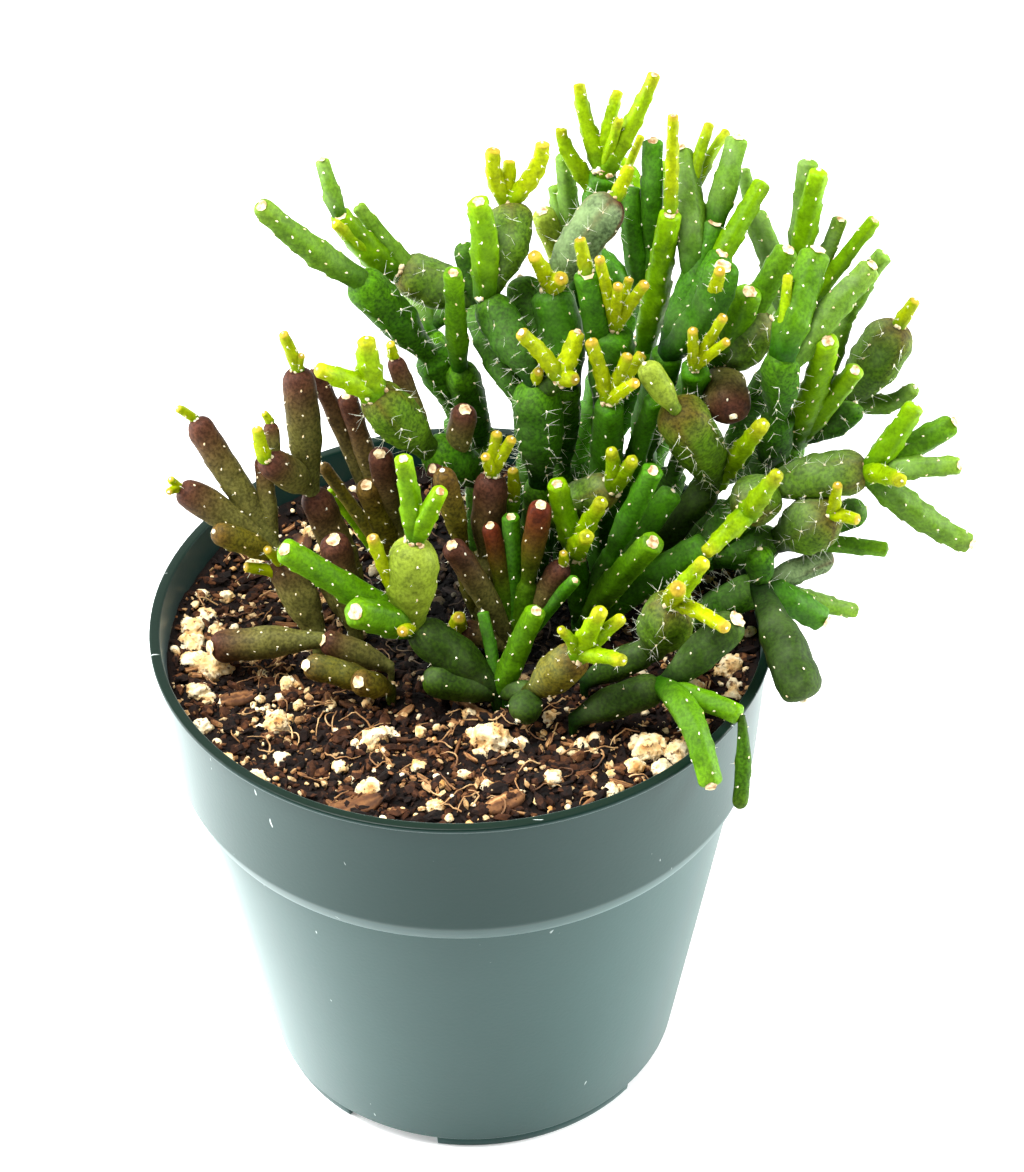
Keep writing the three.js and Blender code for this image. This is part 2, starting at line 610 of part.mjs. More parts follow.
// Where along a bone its rings lie: the thicker the bone, the more of them
function stationsOf(radius, joints) {
  if (joints > 1) return RINGS.double;
  if (radius > STOUT_BONE) return RINGS.stout;
  return radius > SLIM_BONE ? RINGS.plain : RINGS.slim;
}

// A bone's solid: a turned profile bent along its path, from its seat out to its blunt tip
function makeBone({ curve, seat, radius, length }) {
  const joints = jointsOf(radius, length);
  const sides = radius > THICK_BONE ? 6 : radius > SLIM_BONE ? 5 : 4;
  const stations = stationsOf(radius, joints);
  const profile = [[0, -1]];
  for (const t of stations) profile.push([radius * fullness(t, joints), t]);
  profile.push([radius * TIP, 1], [0, 1]);
  const geometry = turned(profile, sides);
  const frames = curve.computeFrenetFrames(PATH_STEPS, false);
  const position = geometry.attributes.position;
  const at = new THREE.Vector3();
  for (let i = 0; i < position.count; i += 1) {
    const t = position.getZ(i);
    if (t < 0) {
      position.setXYZ(i, seat.x, seat.y, seat.z);
      continue;
    }
    const k = Math.round(t * PATH_STEPS);
    curve.getPoint(t, at);
    at.addScaledVector(frames.normals[k], position.getX(i));
    at.addScaledVector(frames.binormals[k], position.getY(i));
    position.setXYZ(i, at.x, at.y, at.z);
  }
  return solid(geometry);
}

// Spines: three-sided needles round a bone, one golden angle apart, with their roots in the skin
function makeSpines({ curve, radius, length }, draw) {
  const joints = jointsOf(radius, length);
  const count = radius > THICK_BONE ? 2 : radius > STOUT_BONE ? 1 : 0;
  const spines = [];
  let turn = draw() * 2 * Math.PI;
  for (let i = 0; i < count; i += 1) {
    const t = SPINY_FROM + (SPINY_SPAN * (i + draw())) / count;
    const tangent = curve.getTangent(t);
    const side = new THREE.Vector3(0, 0, 1).cross(tangent).normalize();
    const outward = side.applyAxisAngle(tangent, turn);
    const skin = radius * fullness(t, joints);
    const lean = outward.clone().addScaledVector(tangent, SPINE_LEAN).normalize();
    const base = curve.getPoint(t).addScaledVector(outward, skin / 2);
    const point = curve.getPoint(t).addScaledVector(outward, skin);
    point.addScaledVector(lean, SPINE_LENGTH);
    const aim = point.clone().sub(base);
    const spine = new THREE.ConeGeometry(SPINE_WIDTH / 2, aim.length(), 3);
    spine.translate(0, aim.length() / 2, 0);
    spine.applyQuaternion(new THREE.Quaternion().setFromUnitVectors(UP, aim.normalize()));
    spines.push(solid(spine.translate(base.x, base.y, base.z)));
    turn += GOLDEN_ANGLE;
  }
  return spines;
}

// A plug of the stem's foot, or with a gap added, the plain hole that it stands in
function rootPlug(root, gap) {
  const top = rootTop(root);
  const radius = ROOT_RADIUS + gap / Math.cos(Math.PI / ROOT_SIDES);
  const height = ROOT_DEPTH + gap + (gap ? 2 * ROOT_LIFT : ROOT_CAP);
  const plug = new THREE.CylinderGeometry(radius, radius, height, ROOT_SIDES).rotateX(Math.PI / 2);
  return solid(plug.translate(top.x, top.y, top.z - ROOT_DEPTH - gap + height / 2));
}

function makeStem(stem, root, index) {
  const draw = seeded(FIRST_STEM_SEED + index);
  let made = rootPlug(root, 0);
  for (const bone of bones.filter((one) => one.stem === stem)) {
    made = made.add(makeBone(bone));
    for (const spine of makeSpines(bone, draw)) made = made.add(spine);
  }
  return made;
}

// The soil fills the pot, uneven on top, with perlite and bark seated in its surface
function makeSoil() {
  const floor = FEET_HEIGHT + WALL + FIT_GAP;
  const side = (height) => potRadius(height) - WALL - FIT_GAP;
  const profile = [
    [0, floor],
    [side(floor), floor],
    [side(BODY_TOP), BODY_TOP],
    [side(COLLAR_FOOT), COLLAR_FOOT],
    [side(SOIL_EDGE), SOIL_EDGE],
    ...SOIL_RINGS.map((radius) => [radius, SOIL_MIDDLE]),
  ];
  const geometry = turned(profile, SOIL_SIDES);
  const position = geometry.attributes.position;
  for (let i = 0; i < position.count; i += 1) {
    const x = position.getX(i);
    const y = position.getY(i);
    if (position.getZ(i) < SOIL_EDGE) continue;
    const waves = SOIL_WAVES * Math.sin(x * WAVE_ACROSS + 1) * Math.cos(y * WAVE_BACK);
    position.setZ(i, soilHeight(x, y) - SOIL_WAVES + waves);
  }
  let soil = solid(geometry);
  for (const [, , root] of plan) soil = soil.subtract(rootPlug(root, FIT_GAP));

  const draw = seeded(SOIL_SEED);
  for (const [x, y, radius] of perlite) {
    const granule = new THREE.OctahedronGeometry(radius * GRANULE_SPREAD, 0);
    granule.rotateX(draw() * Math.PI).rotateY(draw() * Math.PI);
    granule.scale(1, 1, GRANULE_FLATNESS);
    granule.translate(x, y, soilHeight(x, y) - SOIL_WAVES + radius * GRANULE_LIFT);
    soil = soil.add(solid(granule));
  }
  for (const [x, y, long, wide, turn] of bark) {
    const chip = new THREE.BoxGeometry(long, wide, BARK_THICK);
    chip.rotateX(BARK_TILT).rotateZ(THREE.MathUtils.degToRad(turn));
    chip.translate(x, y, soilHeight(x, y) - SOIL_WAVES + BARK_THICK * BARK_LIFT);
    soil = soil.add(solid(chip));
  }
  return soil;
}

const part = new THREE.Group();
part.add(nodeOf("pot", makePot(), colours.pot, roughness.pot));
part.add(nodeOf("soil", makeSoil(), colours.soil, roughness.soil));
plan.forEach(([stem, look, root], index) => {
  part.add(nodeOf(stem, makeStem(stem, root, index), colours[look], roughness.stem));
});
part.position.set(POT_X, POT_Y, 0);

export default part;
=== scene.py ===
import math
import random

import bmesh
import bpy
import numpy as np
from mathutils import Matrix, Vector, noise


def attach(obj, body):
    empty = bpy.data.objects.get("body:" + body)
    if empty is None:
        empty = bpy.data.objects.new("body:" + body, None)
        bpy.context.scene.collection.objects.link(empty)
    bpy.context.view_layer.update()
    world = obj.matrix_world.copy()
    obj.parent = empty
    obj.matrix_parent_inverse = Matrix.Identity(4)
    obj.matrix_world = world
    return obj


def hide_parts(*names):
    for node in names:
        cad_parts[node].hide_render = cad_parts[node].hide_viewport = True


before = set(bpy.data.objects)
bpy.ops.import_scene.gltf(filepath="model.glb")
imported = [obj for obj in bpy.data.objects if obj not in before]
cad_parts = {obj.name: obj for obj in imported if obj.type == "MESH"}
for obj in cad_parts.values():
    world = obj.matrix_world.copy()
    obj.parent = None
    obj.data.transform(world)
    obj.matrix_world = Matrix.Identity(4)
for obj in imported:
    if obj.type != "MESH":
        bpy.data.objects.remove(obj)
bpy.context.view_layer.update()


# The pot: one thin shell of grey-green plastic, moulded with a thickened lip, a straight collar
# that lets pots stack, a tapered body, four low feet, and drain holes through its floor.
MM = 0.001
POT_AXIS = (-17, -7)
FROM_POT = Matrix.Scale(MM, 4) @ Matrix.Translation((*POT_AXIS, 0))
POT_HEIGHT = 92
RIM_RADIUS = 52.5
BODY_TOP = 63
COLLAR_FOOT = 67.5
COLLAR_FOOT_RADIUS = 49.8
BODY_TOP_RADIUS = 47
BODY_FOOT_RADIUS = 36
WALL = 1.1
LIP = 0.7
LIP_HEIGHT = 1.2
FEET_HEIGHT = 2.5
FLOOR_TOP = FEET_HEIGHT + WALL
FOOT_OUTER = 35.1
FOOT_WIDTH = 4
FOOT_TOP = 2.9
FOOT_FLARE = 0.3
FOOT_EDGE = 0.3
SHARP_CORNER = 0.8
EDGE_ROUND = 0.4
FOOT_SPAN = math.radians(62)
FIRST_FOOT = math.radians(-101)
DRAIN_RADIUS = 3.2
FIRST_DRAIN = math.radians(-24)
POT_STEPS = 160
POT_GREEN = (22, 54, 51)
POT_SHEEN = (34, 66, 63)
# The darker green of the collar is painted shade.
COLLAR_SHADE_GREEN = (6, 42, 38)
LIP_GREEN = (4, 28, 19)
LIP_EDGE = 0.5
SCUFF_GREY = (205, 216, 212)


def linear(colour):
    """A screen colour, 0 to 255, as the renderer's red, green, blue and alpha."""
    return (*[(c / 255) ** 2.2 for c in colour], 1)


def put(tree, kind, inputs=None, **settings):
    """A node with its settings, and each input either joined to an output or set to a value."""
    made = tree.nodes.new(kind)
    for key, value in settings.items():
        setattr(made, key, value)
    for key, value in (inputs or {}).items():
        if isinstance(value, bpy.types.NodeSocket):
            tree.links.new(value, made.inputs[key])
        else:
            made.inputs[key].default_value = value
    return made


def blend_colours(tree, factor, first, second, way="MIX"):
    """The colour that lies between two, or one laid over the other in the named way."""
    inputs = {0: factor, 6: first, 7: second}
    return put(tree, "ShaderNodeMix", inputs, data_type="RGBA", blend_type=way).outputs[2]


def steps_of(tree, value, *stops):
    """A value turned into a colour by the stops of a ramp: place and grey or colour."""
    ramp = put(tree, "ShaderNodeValToRGB", {"Fac": value})
    while len(ramp.color_ramp.elements) < len(stops):
        ramp.color_ramp.elements.new(0.5)
    for element, (place, colour) in zip(ramp.color_ramp.elements, stops):
        element.position = place
        element.color = colour if isinstance(colour, tuple) else (colour, colour, colour, 1)
    return ramp.outputs["Color"]


def new_material(name, roughness, **shader_values):
    """A principled material with its even values set, its tree and its place in the object."""
    material = bpy.data.materials.new(name)
    material.use_nodes = True
    tree = material.node_tree
    shader = tree.nodes["Principled BSDF"]
    shader.inputs["Roughness"].default_value = roughness
    for key, value in shader_values.items():
        shader.inputs[key.replace("_", " ")].default_value = value
    place = put(tree, "ShaderNodeTexCoord").outputs["Object"]
    return material, tree, shader, place


def raise_from(tree, shader, height, distance, strength=1.0):
    """Relief on the surface from a height, as deep as the distance in millimetres."""
    values = {"Height": height, "Distance": distance * MM, "Strength": strength}
    bump = put(tree, "ShaderNodeBump", values)
    tree.links.new(bump.outputs["Normal"], shader.inputs["Normal"])
    return bump


def hand_over(name, bm, materials, slot, *nodes):
    """A finished mesh, drawn in millimetres from the pot's foot, as a piece of the object."""
    bmesh.ops.transform(bm, matrix=FROM_POT, verts=bm.verts)
    mesh = bpy.data.meshes.new(name)
    bm.to_mesh(mesh)
    bm.free()
    mesh.shade_smooth()
    for material in materials:
        mesh.materials.append(material)
    piece = bpy.data.objects.new(name, mesh)
    bpy.context.scene.collection.objects.link(piece)
    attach(piece, "root")
    if nodes:
        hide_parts(*nodes)
    return piece


def pot_radius(height):
    """Radius of the pot's outer face at a height."""
    if height >= COLLAR_FOOT:
        up = (height - COLLAR_FOOT) / (POT_HEIGHT - COLLAR_FOOT)
        return COLLAR_FOOT_RADIUS + up * (RIM_RADIUS - LIP - COLLAR_FOOT_RADIUS)
    if height >= BODY_TOP:
        up = (height - BODY_TOP) / (COLLAR_FOOT - BODY_TOP)
        return BODY_TOP_RADIUS + (COLLAR_FOOT_RADIUS - BODY_TOP_RADIUS) * math.sqrt(up)
    up = (height - FEET_HEIGHT) / (BODY_TOP - FEET_HEIGHT)
    return BODY_FOOT_RADIUS + up * (BODY_TOP_RADIUS - BODY_FOOT_RADIUS)


def rounded(corners, radius, steps=4):
    """The corners of a profile, each with its own small round."""
    path = [corners[0]]
    for before, corner, after in zip(corners, corners[1:], corners[2:]):
        corner = Vector(corner)
        back, on = Vector(before) - corner, Vector(after) - corner
        reach = min(radius, back.length / 2, on.length / 2)
        start, end = corner + back.normalized() * reach, corner + on.normalized() * reach
        for i in range(steps + 1):
            t = i / steps
            path.append((1 - t) ** 2 * start + 2 * t * (1 - t) * corner + t * t * end)
    return path + [corners[-1]]


def lathe(bm, profile, steps):
    """A profile of radius and height, from the axis and back to it, turned about the axis."""
    verts = [bm.verts.new((r, 0, z)) for r, z in profile]
    edges = [bm.edges.new(pair) for pair in zip(verts, verts[1:])]
    bmesh.ops.spin(bm, geom=verts + edges, cent=(0, 0, 0), axis=(0, 0, 1), dvec=(0, 0, 0),
                   angle=math.tau, steps=steps, use_merge=True, use_duplicate=False)
    bmesh.ops.remove_doubles(bm, verts=bm.verts, dist=1e-4)
    bmesh.ops.recalc_face_normals(bm, faces=bm.faces)


def make_pot():
    lip_foot = POT_HEIGHT - LIP_HEIGHT
    chamfer = [BODY_TOP + (COLLAR_FOOT - BODY_TOP) * i / 5 for i in range(6)]
    outer = [(pot_radius(z), z) for z in (*chamfer, lip_foot)]
    inner = [(pot_radius(z) - WALL, z) for z in (COLLAR_FOOT, BODY_TOP, FLOOR_TOP)]
    corners = [
        (0, FEET_HEIGHT),
        (BODY_FOOT_RADIUS, FEET_HEIGHT),
        *outer,
        (RIM_RADIUS, lip_foot + LIP / 2),
        (RIM_RADIUS, POT_HEIGHT),
        (RIM_RADIUS - LIP - WALL, POT_HEIGHT),
        *inner,
        (0, FLOOR_TOP),
    ]
    bm = bmesh.new()
    lathe(bm, rounded(corners, EDGE_ROUND), POT_STEPS)
    return bm


def add_feet(bm):
    """Four arcs of a low ring, each spun from its section, with softened edges."""
    inner = FOOT_OUTER - FOOT_WIDTH
    section = [(inner, 0), (FOOT_OUTER, 0), (FOOT_OUTER + FOOT_FLARE, FOOT_TOP), (inner, FOOT_TOP)]
    for i in range(4):
        foot = bmesh.new()
        face = foot.faces.new([foot.verts.new((x, 0, z)) for x, z in section])
        start = Matrix.Rotation(FIRST_FOOT + i * math.tau / 4, 4, "Z")
        bmesh.ops.transform(foot, matrix=start, verts=foot.verts)
        bmesh.ops.spin(foot, geom=[face], cent=(0, 0, 0), axis=(0, 0, 1), dvec=(0, 0, 0),
                       angle=FOOT_SPAN, steps=18, use_merge=False, use_duplicate=False)
        bmesh.ops.recalc_face_normals(foot, faces=foot.faces)
        joined = [e for e in foot.edges if len(e.link_faces) == 2]
        sharp = [e for e in joined if e.calc_face_angle() > SHARP_CORNER]
        bmesh.ops.bevel(foot, geom=sharp, affect="EDGES", offset=FOOT_EDGE, segments=2, profile=0.5,
                        material=-1)
        mesh = bpy.data.meshes.new("foot")
        foot.to_mesh(mesh)
        foot.free()
        bm.from_mesh(mesh)
        bpy.data.meshes.remove(mesh)


def cut_drains(piece):
    """Four round drain holes cut through the floor, inside the ring of feet."""
    bm = bmesh.new()
    away = FOOT_OUTER - FOOT_WIDTH - DRAIN_RADIUS
    for i in range(4):
        turn = FIRST_DRAIN + i * math.tau / 4
        place = (away * math.cos(turn), away * math.sin(turn), FLOOR_TOP - WALL / 2)
        bmesh.ops.create_cone(bm, cap_ends=True, segments=32, radius1=DRAIN_RADIUS,
                              radius2=DRAIN_RADIUS, depth=4 * WALL,
                              matrix=Matrix.Translation(place))
    bmesh.ops.transform(bm, matrix=FROM_POT, verts=bm.verts)
    mesh = bpy.data.meshes.new("drains")
    bm.to_mesh(mesh)
    bm.free()
    cutter = bpy.data.objects.new("drains", mesh)
    bpy.context.scene.collection.objects.link(cutter)
    cut = piece.modifiers.new("drains", "BOOLEAN")
    cut.operation = "DIFFERENCE"
    cut.object = cutter
    finished = bpy.data.meshes.new_from_object(
        piece.evaluated_get(bpy.context.evaluated_depsgraph_get()))
    piece.modifiers.clear()
    piece.data = finished
    bpy.data.objects.remove(cutter)


def moulded_plastic():
    """Satin plastic with a faint grain, a collar darkened by painted shade, a darker lip, and a few
    pale scuffs.
    """
    material, tree, shader, place = new_material("moulded_plastic", 0.34, Specular_IOR_Level=0.14,
                                                 Sheen_Weight=0.26, Sheen_Roughness=0.4,
                                                 Sheen_Tint=(0.76, 1, 0.97, 1))
    height = put(tree, "ShaderNodeSeparateXYZ", {"Vector": place}).outputs["Z"]
    cloud = put(tree, "ShaderNodeTexNoise", {"Vector": place, "Scale": 35, "Detail": 4})
    colour = blend_colours(tree, steps_of(tree, cloud.outputs["Fac"], (0.35, 0.0), (0.8, 0.35)),
                           linear(POT_GREEN), linear(POT_SHEEN))
    # Painted shade: above the collar's foot the colour turns to the darker collar green.
    above = put(tree, "ShaderNodeMapRange", {"Value": height, "From Min": (COLLAR_FOOT - 1) * MM,
                                             "From Max": COLLAR_FOOT * MM, "To Max": 0.9})
    colour = blend_colours(tree, above.outputs[0], colour, linear(COLLAR_SHADE_GREEN))
    lip = put(tree, "ShaderNodeMapRange", {"Value": height, "From Max": POT_HEIGHT * MM,
                                           "From Min": (POT_HEIGHT - LIP_EDGE) * MM})
    colour = blend_colours(tree, lip.outputs[0], colour, linear(LIP_GREEN))
    flat = put(tree, "ShaderNodeMapping", {"Vector": place, "Rotation": (0, 0.5, 0.2),
                                           "Scale": (1, 6, 1)})
    tick = put(tree, "ShaderNodeTexNoise", {"Vector": flat.outputs[0], "Scale": 210, "Detail": 2})
    scuff = steps_of(tree, tick.outputs["Fac"], (0.75, 0.0), (0.77, 0.7))
    colour = blend_colours(tree, scuff, colour, linear(SCUFF_GREY))
    tree.links.new(colour, shader.inputs["Base Color"])
    grain = put(tree, "ShaderNodeTexNoise", {"Vector": place, "Scale": 1400, "Detail": 2})
    raise_from(tree, shader, grain.outputs["Fac"], 0.03, 0.35)
    return material


pot = make_pot()
add_feet(pot)
cut_drains(hand_over("nursery_pot", pot, [moulded_plastic()], "pot_plastic", "pot"))


# The soil: dark peat pressed into the pot, falling away a little to the back, its top raised into
# low hummocks and level where it meets the wall. Under the clump painted shade makes it nearly
# black.
SOIL_MIDDLE = 85.3
SOIL_FALL_BACK = 0.055
SOIL_FALL_SIDE = 0.02
SOIL_EDGE = 86
SOIL_EDGE_WIDTH = 9
SOIL_WAVES = 0.5
HUMMOCK = 0.9
CLOD = 0.7
FIT_GAP = 0.35
SOIL_STEPS = 170
SOIL_RINGS = 64
PEAT_STOPS = [
    (0.0, linear((9, 5, 3))),
    (0.3, linear((34, 19, 11))),
    (0.5, linear((80, 48, 28))),
    (0.65, linear((134, 90, 56))),
    (0.8, linear((190, 148, 98))),
    (1.0, linear((240, 214, 164))),
]
# Painted shade under the clump: where it is darkest, how far it stays dark, where it is gone, and
# its black.
CLUMP_SHADE_MIDDLE = (-12 * MM, 5 * MM, 85 * MM)
CLUMP_SHADE_REACH = 20 * MM
CLUMP_SHADE_END = 31 * MM
CLUMP_SHADE_BLACK = (4, 3, 2)


def soil_level(x, y):
    """Height of the soil at a place in the pot, without its crumbs."""
    waves = SOIL_WAVES * math.sin(x * 0.31 + 1) * math.cos(y * 0.27)
    return SOIL_MIDDLE - SOIL_FALL_BACK * y - SOIL_FALL_SIDE * abs(x) - SOIL_WAVES + waves


def soil_top(x, y):
    """Height of the soil's surface with its hummocks, level where it meets the wall."""
    rough = HUMMOCK * noise.noise((x * 0.2, y * 0.2, 3))
    rough += CLOD * noise.noise((x * 0.7, y * 0.7, 9))
    level = soil_level(x, y) + rough
    side = pot_radius(SOIL_EDGE) - WALL - FIT_GAP
    near = min(max((math.hypot(x, y) - side + SOIL_EDGE_WIDTH) / SOIL_EDGE_WIDTH, 0), 1)
    return level + near * near * (SOIL_EDGE + rough - level)


def shaded_under_clump(tree, place, colour):
    """A colour made darker under the clump: painted shade, nearly black in its middle."""
    away = put(tree, "ShaderNodeVectorMath", {0: place, 1: CLUMP_SHADE_MIDDLE}, operation="DISTANCE")
    unshaded = put(tree, "ShaderNodeMapRange", {"Value": away.outputs["Value"], "From Min": CLUMP_SHADE_REACH,
                                           "From Max": CLUMP_SHADE_END, "To Min": 0.08})
    return blend_colours(tree, unshaded.outputs[0], linear(CLUMP_SHADE_BLACK), colour)


def peat(name, roughness, by_crumb):
    """Peat and bark: a brown for each crumb or fleck, darkened in its hollows, with a fine grit."""
    material, tree, shader, place = new_material(name, roughness, Specular_IOR_Level=0.25)
    fleck = put(tree, "ShaderNodeTexVoronoi", {"Vector": place, "Scale": 900})
    tone = put(tree, "ShaderNodeSeparateColor", {"Color": fleck.outputs["Color"]}).outputs["Red"]
    if by_crumb:
        own = put(tree, "ShaderNodeAttribute", attribute_name="tone").outputs["Fac"]
        tone = put(tree, "ShaderNodeMix", {0: 0.25, 2: own, 3: tone}).outputs[0]
    else:
        tone = put(tree, "ShaderNodeMath", {0: tone, 1: 0.3}, operation="MULTIPLY").outputs[0]
    colour = steps_of(tree, tone, *PEAT_STOPS)
    cloud = put(tree, "ShaderNodeTexNoise", {"Vector": place, "Scale": 1500, "Detail": 3})
    shade = steps_of(tree, cloud.outputs["Fac"], (0.3, 0.5), (0.7, 1.0))
    colour = blend_colours(tree, 1.0, colour, shade, "MULTIPLY")
    # Painted shade under the clump darkens the peat.
    tree.links.new(shaded_under_clump(tree, place, colour), shader.inputs["Base Color"])
    raise_from(tree, shader, cloud.outputs["Fac"], 0.25, 0.8)
    return material


def make_soil_bed():
    """Peat down to the pot's floor, turned as one body, its top raised into hummocks."""
    floor = FLOOR_TOP + FIT_GAP
    heights = (floor, BODY_TOP, COLLAR_FOOT, SOIL_EDGE)
    side = [(pot_radius(z) - WALL - FIT_GAP, z) for z in heights]
    edge = side[-1][0]
    top = [(edge * (1 - i / SOIL_RINGS), SOIL_EDGE) for i in range(1, SOIL_RINGS)]
    bm = bmesh.new()
    lathe(bm, [(0, floor), *side, *top, (0, SOIL_EDGE)], SOIL_STEPS)
    for vert in bm.verts:
        if vert.co.z > SOIL_EDGE - 0.01:
            vert.co.z = soil_top(vert.co.x, vert.co.y)
    hand_over("soil_bed", bm, [peat("pressed_peat", 0.95, False)], "soil", "soil")


make_soil_bed()


# Loose peat: sharp crumbs and grit that lie on the pressed soil, set down one by one and fused into
# one piece. Each crumb keeps a brown of its own, and here and there one is tan.
CRUMB_COUNT = 8800
CRUMB_REACH = 48.6
CRUMB_EDGE = 50.1
CRUMB_LEAST = 0.25
CRUMB_MOST = 1.4
CRUMB_VERTS = 12
CRUMB_SHAPES = 9

draw = random.Random(4)


def shape_of(bm, name="shape"):
    """A small shape kept as a mesh, to be set down many times."""
    mesh = bpy.data.meshes.new(name)
    bm.to_mesh(mesh)
    bm.free()
    return mesh


def set_down(bm, shape, place):
    """One copy of a small shape in its place."""
    mesh = shape.copy()
    mesh.transform(place)
    bm.from_mesh(mesh)
    bpy.data.meshes.remove(mesh)


def lie(x, y, z, size, tilt=0.6):
    """The place of a loose thing that lies turned and tilted, scaled by its size."""
    turn = Matrix.Rotation(draw.uniform(0, math.tau), 4, "Z")
    lean = Matrix.Rotation(draw.gauss(0, tilt), 4, "X")
    return Matrix.Translation((x, y, z)) @ turn @ lean @ Matrix.Diagonal((*size, 1))


def place_in_pot(reach):
    """A place on the soil, drawn evenly over the round."""
    away, turn = reach * math.sqrt(draw.random()), draw.uniform(0, math.tau)
    return away * math.cos(turn), away * math.sin(turn)


def give_tones(piece, tones, count):
    """One tone for all the points of each copy, in the order they were set down."""
    values = np.repeat(np.array(tones, dtype=np.float32), count)
    tone = piece.data.attributes.new("tone", "FLOAT", "POINT")
    tone.data.foreach_set("value", values)


def make_crumbs():
    """Crumbs of peat and grit, sharp-edged, each a brown of its own and here and there tan."""
    shapes = []
    for _ in range(CRUMB_SHAPES):
        bm = bmesh.new()
        bmesh.ops.create_icosphere(bm, subdivisions=1, radius=1)
        for vert in bm.verts:
            vert.co *= draw.uniform(0.6, 1.25)
        shapes.append(shape_of(bm))
    crumbs, tones = bmesh.new(), []
    for _ in range(CRUMB_COUNT):
        size = min(CRUMB_LEAST + draw.expovariate(3), CRUMB_MOST)
        x, y = place_in_pot(CRUMB_EDGE - 1.5 * size)
        shape = (size * draw.uniform(0.9, 1.9), size * draw.uniform(0.6, 1), size * 0.7)
        place = lie(x, y, soil_top(x, y) + draw.uniform(-0.2, 0.75), shape)
        set_down(crumbs, draw.choice(shapes), place)
        tones.append(min(draw.expovariate(2.6), 0.97) if size < 1 else draw.uniform(0, 0.5))
    piece = hand_over("soil_crumbs", crumbs, [peat("loose_peat", 0.9, True)], "soil")
    piece.data.shade_flat()
    give_tones(piece, tones, CRUMB_VERTS)


make_crumbs()


# Perlite: granules of chalky glass foam, popped in a kiln. The large ones lie where they are seen,
# each right and back from the pot's axis with its radius, and the grit is strewn between them.
SMALL_PERLITE = 620
GRIT_LEAST = 0.2
GRIT_MOST = 1.1
GRANULE_SHAPES = 6
GRANULE_SEAT = 0.3
LARGE_GRANULE = 2
PERLITE = [
    (4.5, -25.8, 3.1), (9.2, -26.3, 1.5), (0.8, -18.5, 1.3), (14.3, -19.2, 1.3),
    (19.3, -27.1, 1.4), (14.3, -35.7, 1.7), (23.8, -38.8, 1.6), (3.8, -36.7, 1.3),
    (-4.5, -42, 1.5), (-15.3, -37.3, 2.1), (-14.5, -24.5, 2.3), (-12.2, -22.4, 1.3),
    (-30.5, -19.5, 2.3), (-38.8, -28.9, 1.8), (-33.8, -33.9, 2), (-29.7, -28.4, 1.5),
    (-29, -9.8, 1.7), (-43, -19.8, 1.8), (-45.5, -2.3, 2.6), (-41.2, -3.6, 2.9),
    (-36.2, 0.3, 2.2), (-44.8, 10.5, 1.7), (-42.2, 6.3, 1.5), (30.3, -28.5, 2.9),
    (35, -29.5, 2.3), (32.2, -34, 2), (44.5, -14.5, 1.8), (-36, 24, 2),
    (-27, 34, 1.6), (-12, 38, 2.4), (-40.8, 16.6, 1.4), (10, 44.5, 1.8),
    (-46.2, 6.8, 2.6), (-46, 2.8, 2.4), (-44, -10.5, 2.2), (-45.2, 15.6, 1.9),
    (-43.4, 10.9, 1.5), (-33, 5.5, 1.3), (44.6, -6.4, 2.3), (38.6, -11.4, 1.6),
    (27.6, -32.6, 1.7), (36.8, -25.2, 1.5), (-20, -30.8, 1.4), (-7.5, -32, 1.3),
]


def expanded_mineral():
    """Perlite: chalky cream glass foam, stained in its pits and dusted with peat."""
    material, tree, shader, place = new_material("expanded_perlite", 0.85, Specular_IOR_Level=0.3)
    cloud = put(tree, "ShaderNodeTexNoise", {"Vector": place, "Scale": 420, "Detail": 4})
    colour = steps_of(tree, cloud.outputs["Fac"], (0.32, linear((190, 136, 76))),
                      (0.46, linear((228, 194, 136))), (0.6, linear((242, 226, 188))))
    dust = put(tree, "ShaderNodeTexNoise", {"Vector": place, "Scale": 1100, "Detail": 4})
    dirt = steps_of(tree, dust.outputs["Fac"], (0.57, 0.0), (0.66, 0.9))
    colour = blend_colours(tree, dirt, colour, linear((92, 58, 34)))
    # Painted shade under the clump darkens the perlite.
    tree.links.new(shaded_under_clump(tree, place, colour), shader.inputs["Base Color"])
    raise_from(tree, shader, dust.outputs["Fac"], 0.45, 0.9)
    return material


def perlite_shape(subdivisions, seed):
    """A popped granule: round, with lumps and pits."""
    bm = bmesh.new()
    bmesh.ops.create_icosphere(bm, subdivisions=subdivisions, radius=1)
    for vert in bm.verts:
        at = vert.co.copy()
        lumps = 0.36 * noise.noise(at * 1.2 + Vector((seed, 0, 0)))
        pits = 0.4 * noise.noise(at * 2.4 + Vector((0, seed, 0)))
        grains = 0.2 * noise.noise(at * 6 + Vector((0, 0, seed)))
        vert.co *= 1.1 + lumps - abs(pits) - abs(grains)
    return shape_of(bm)


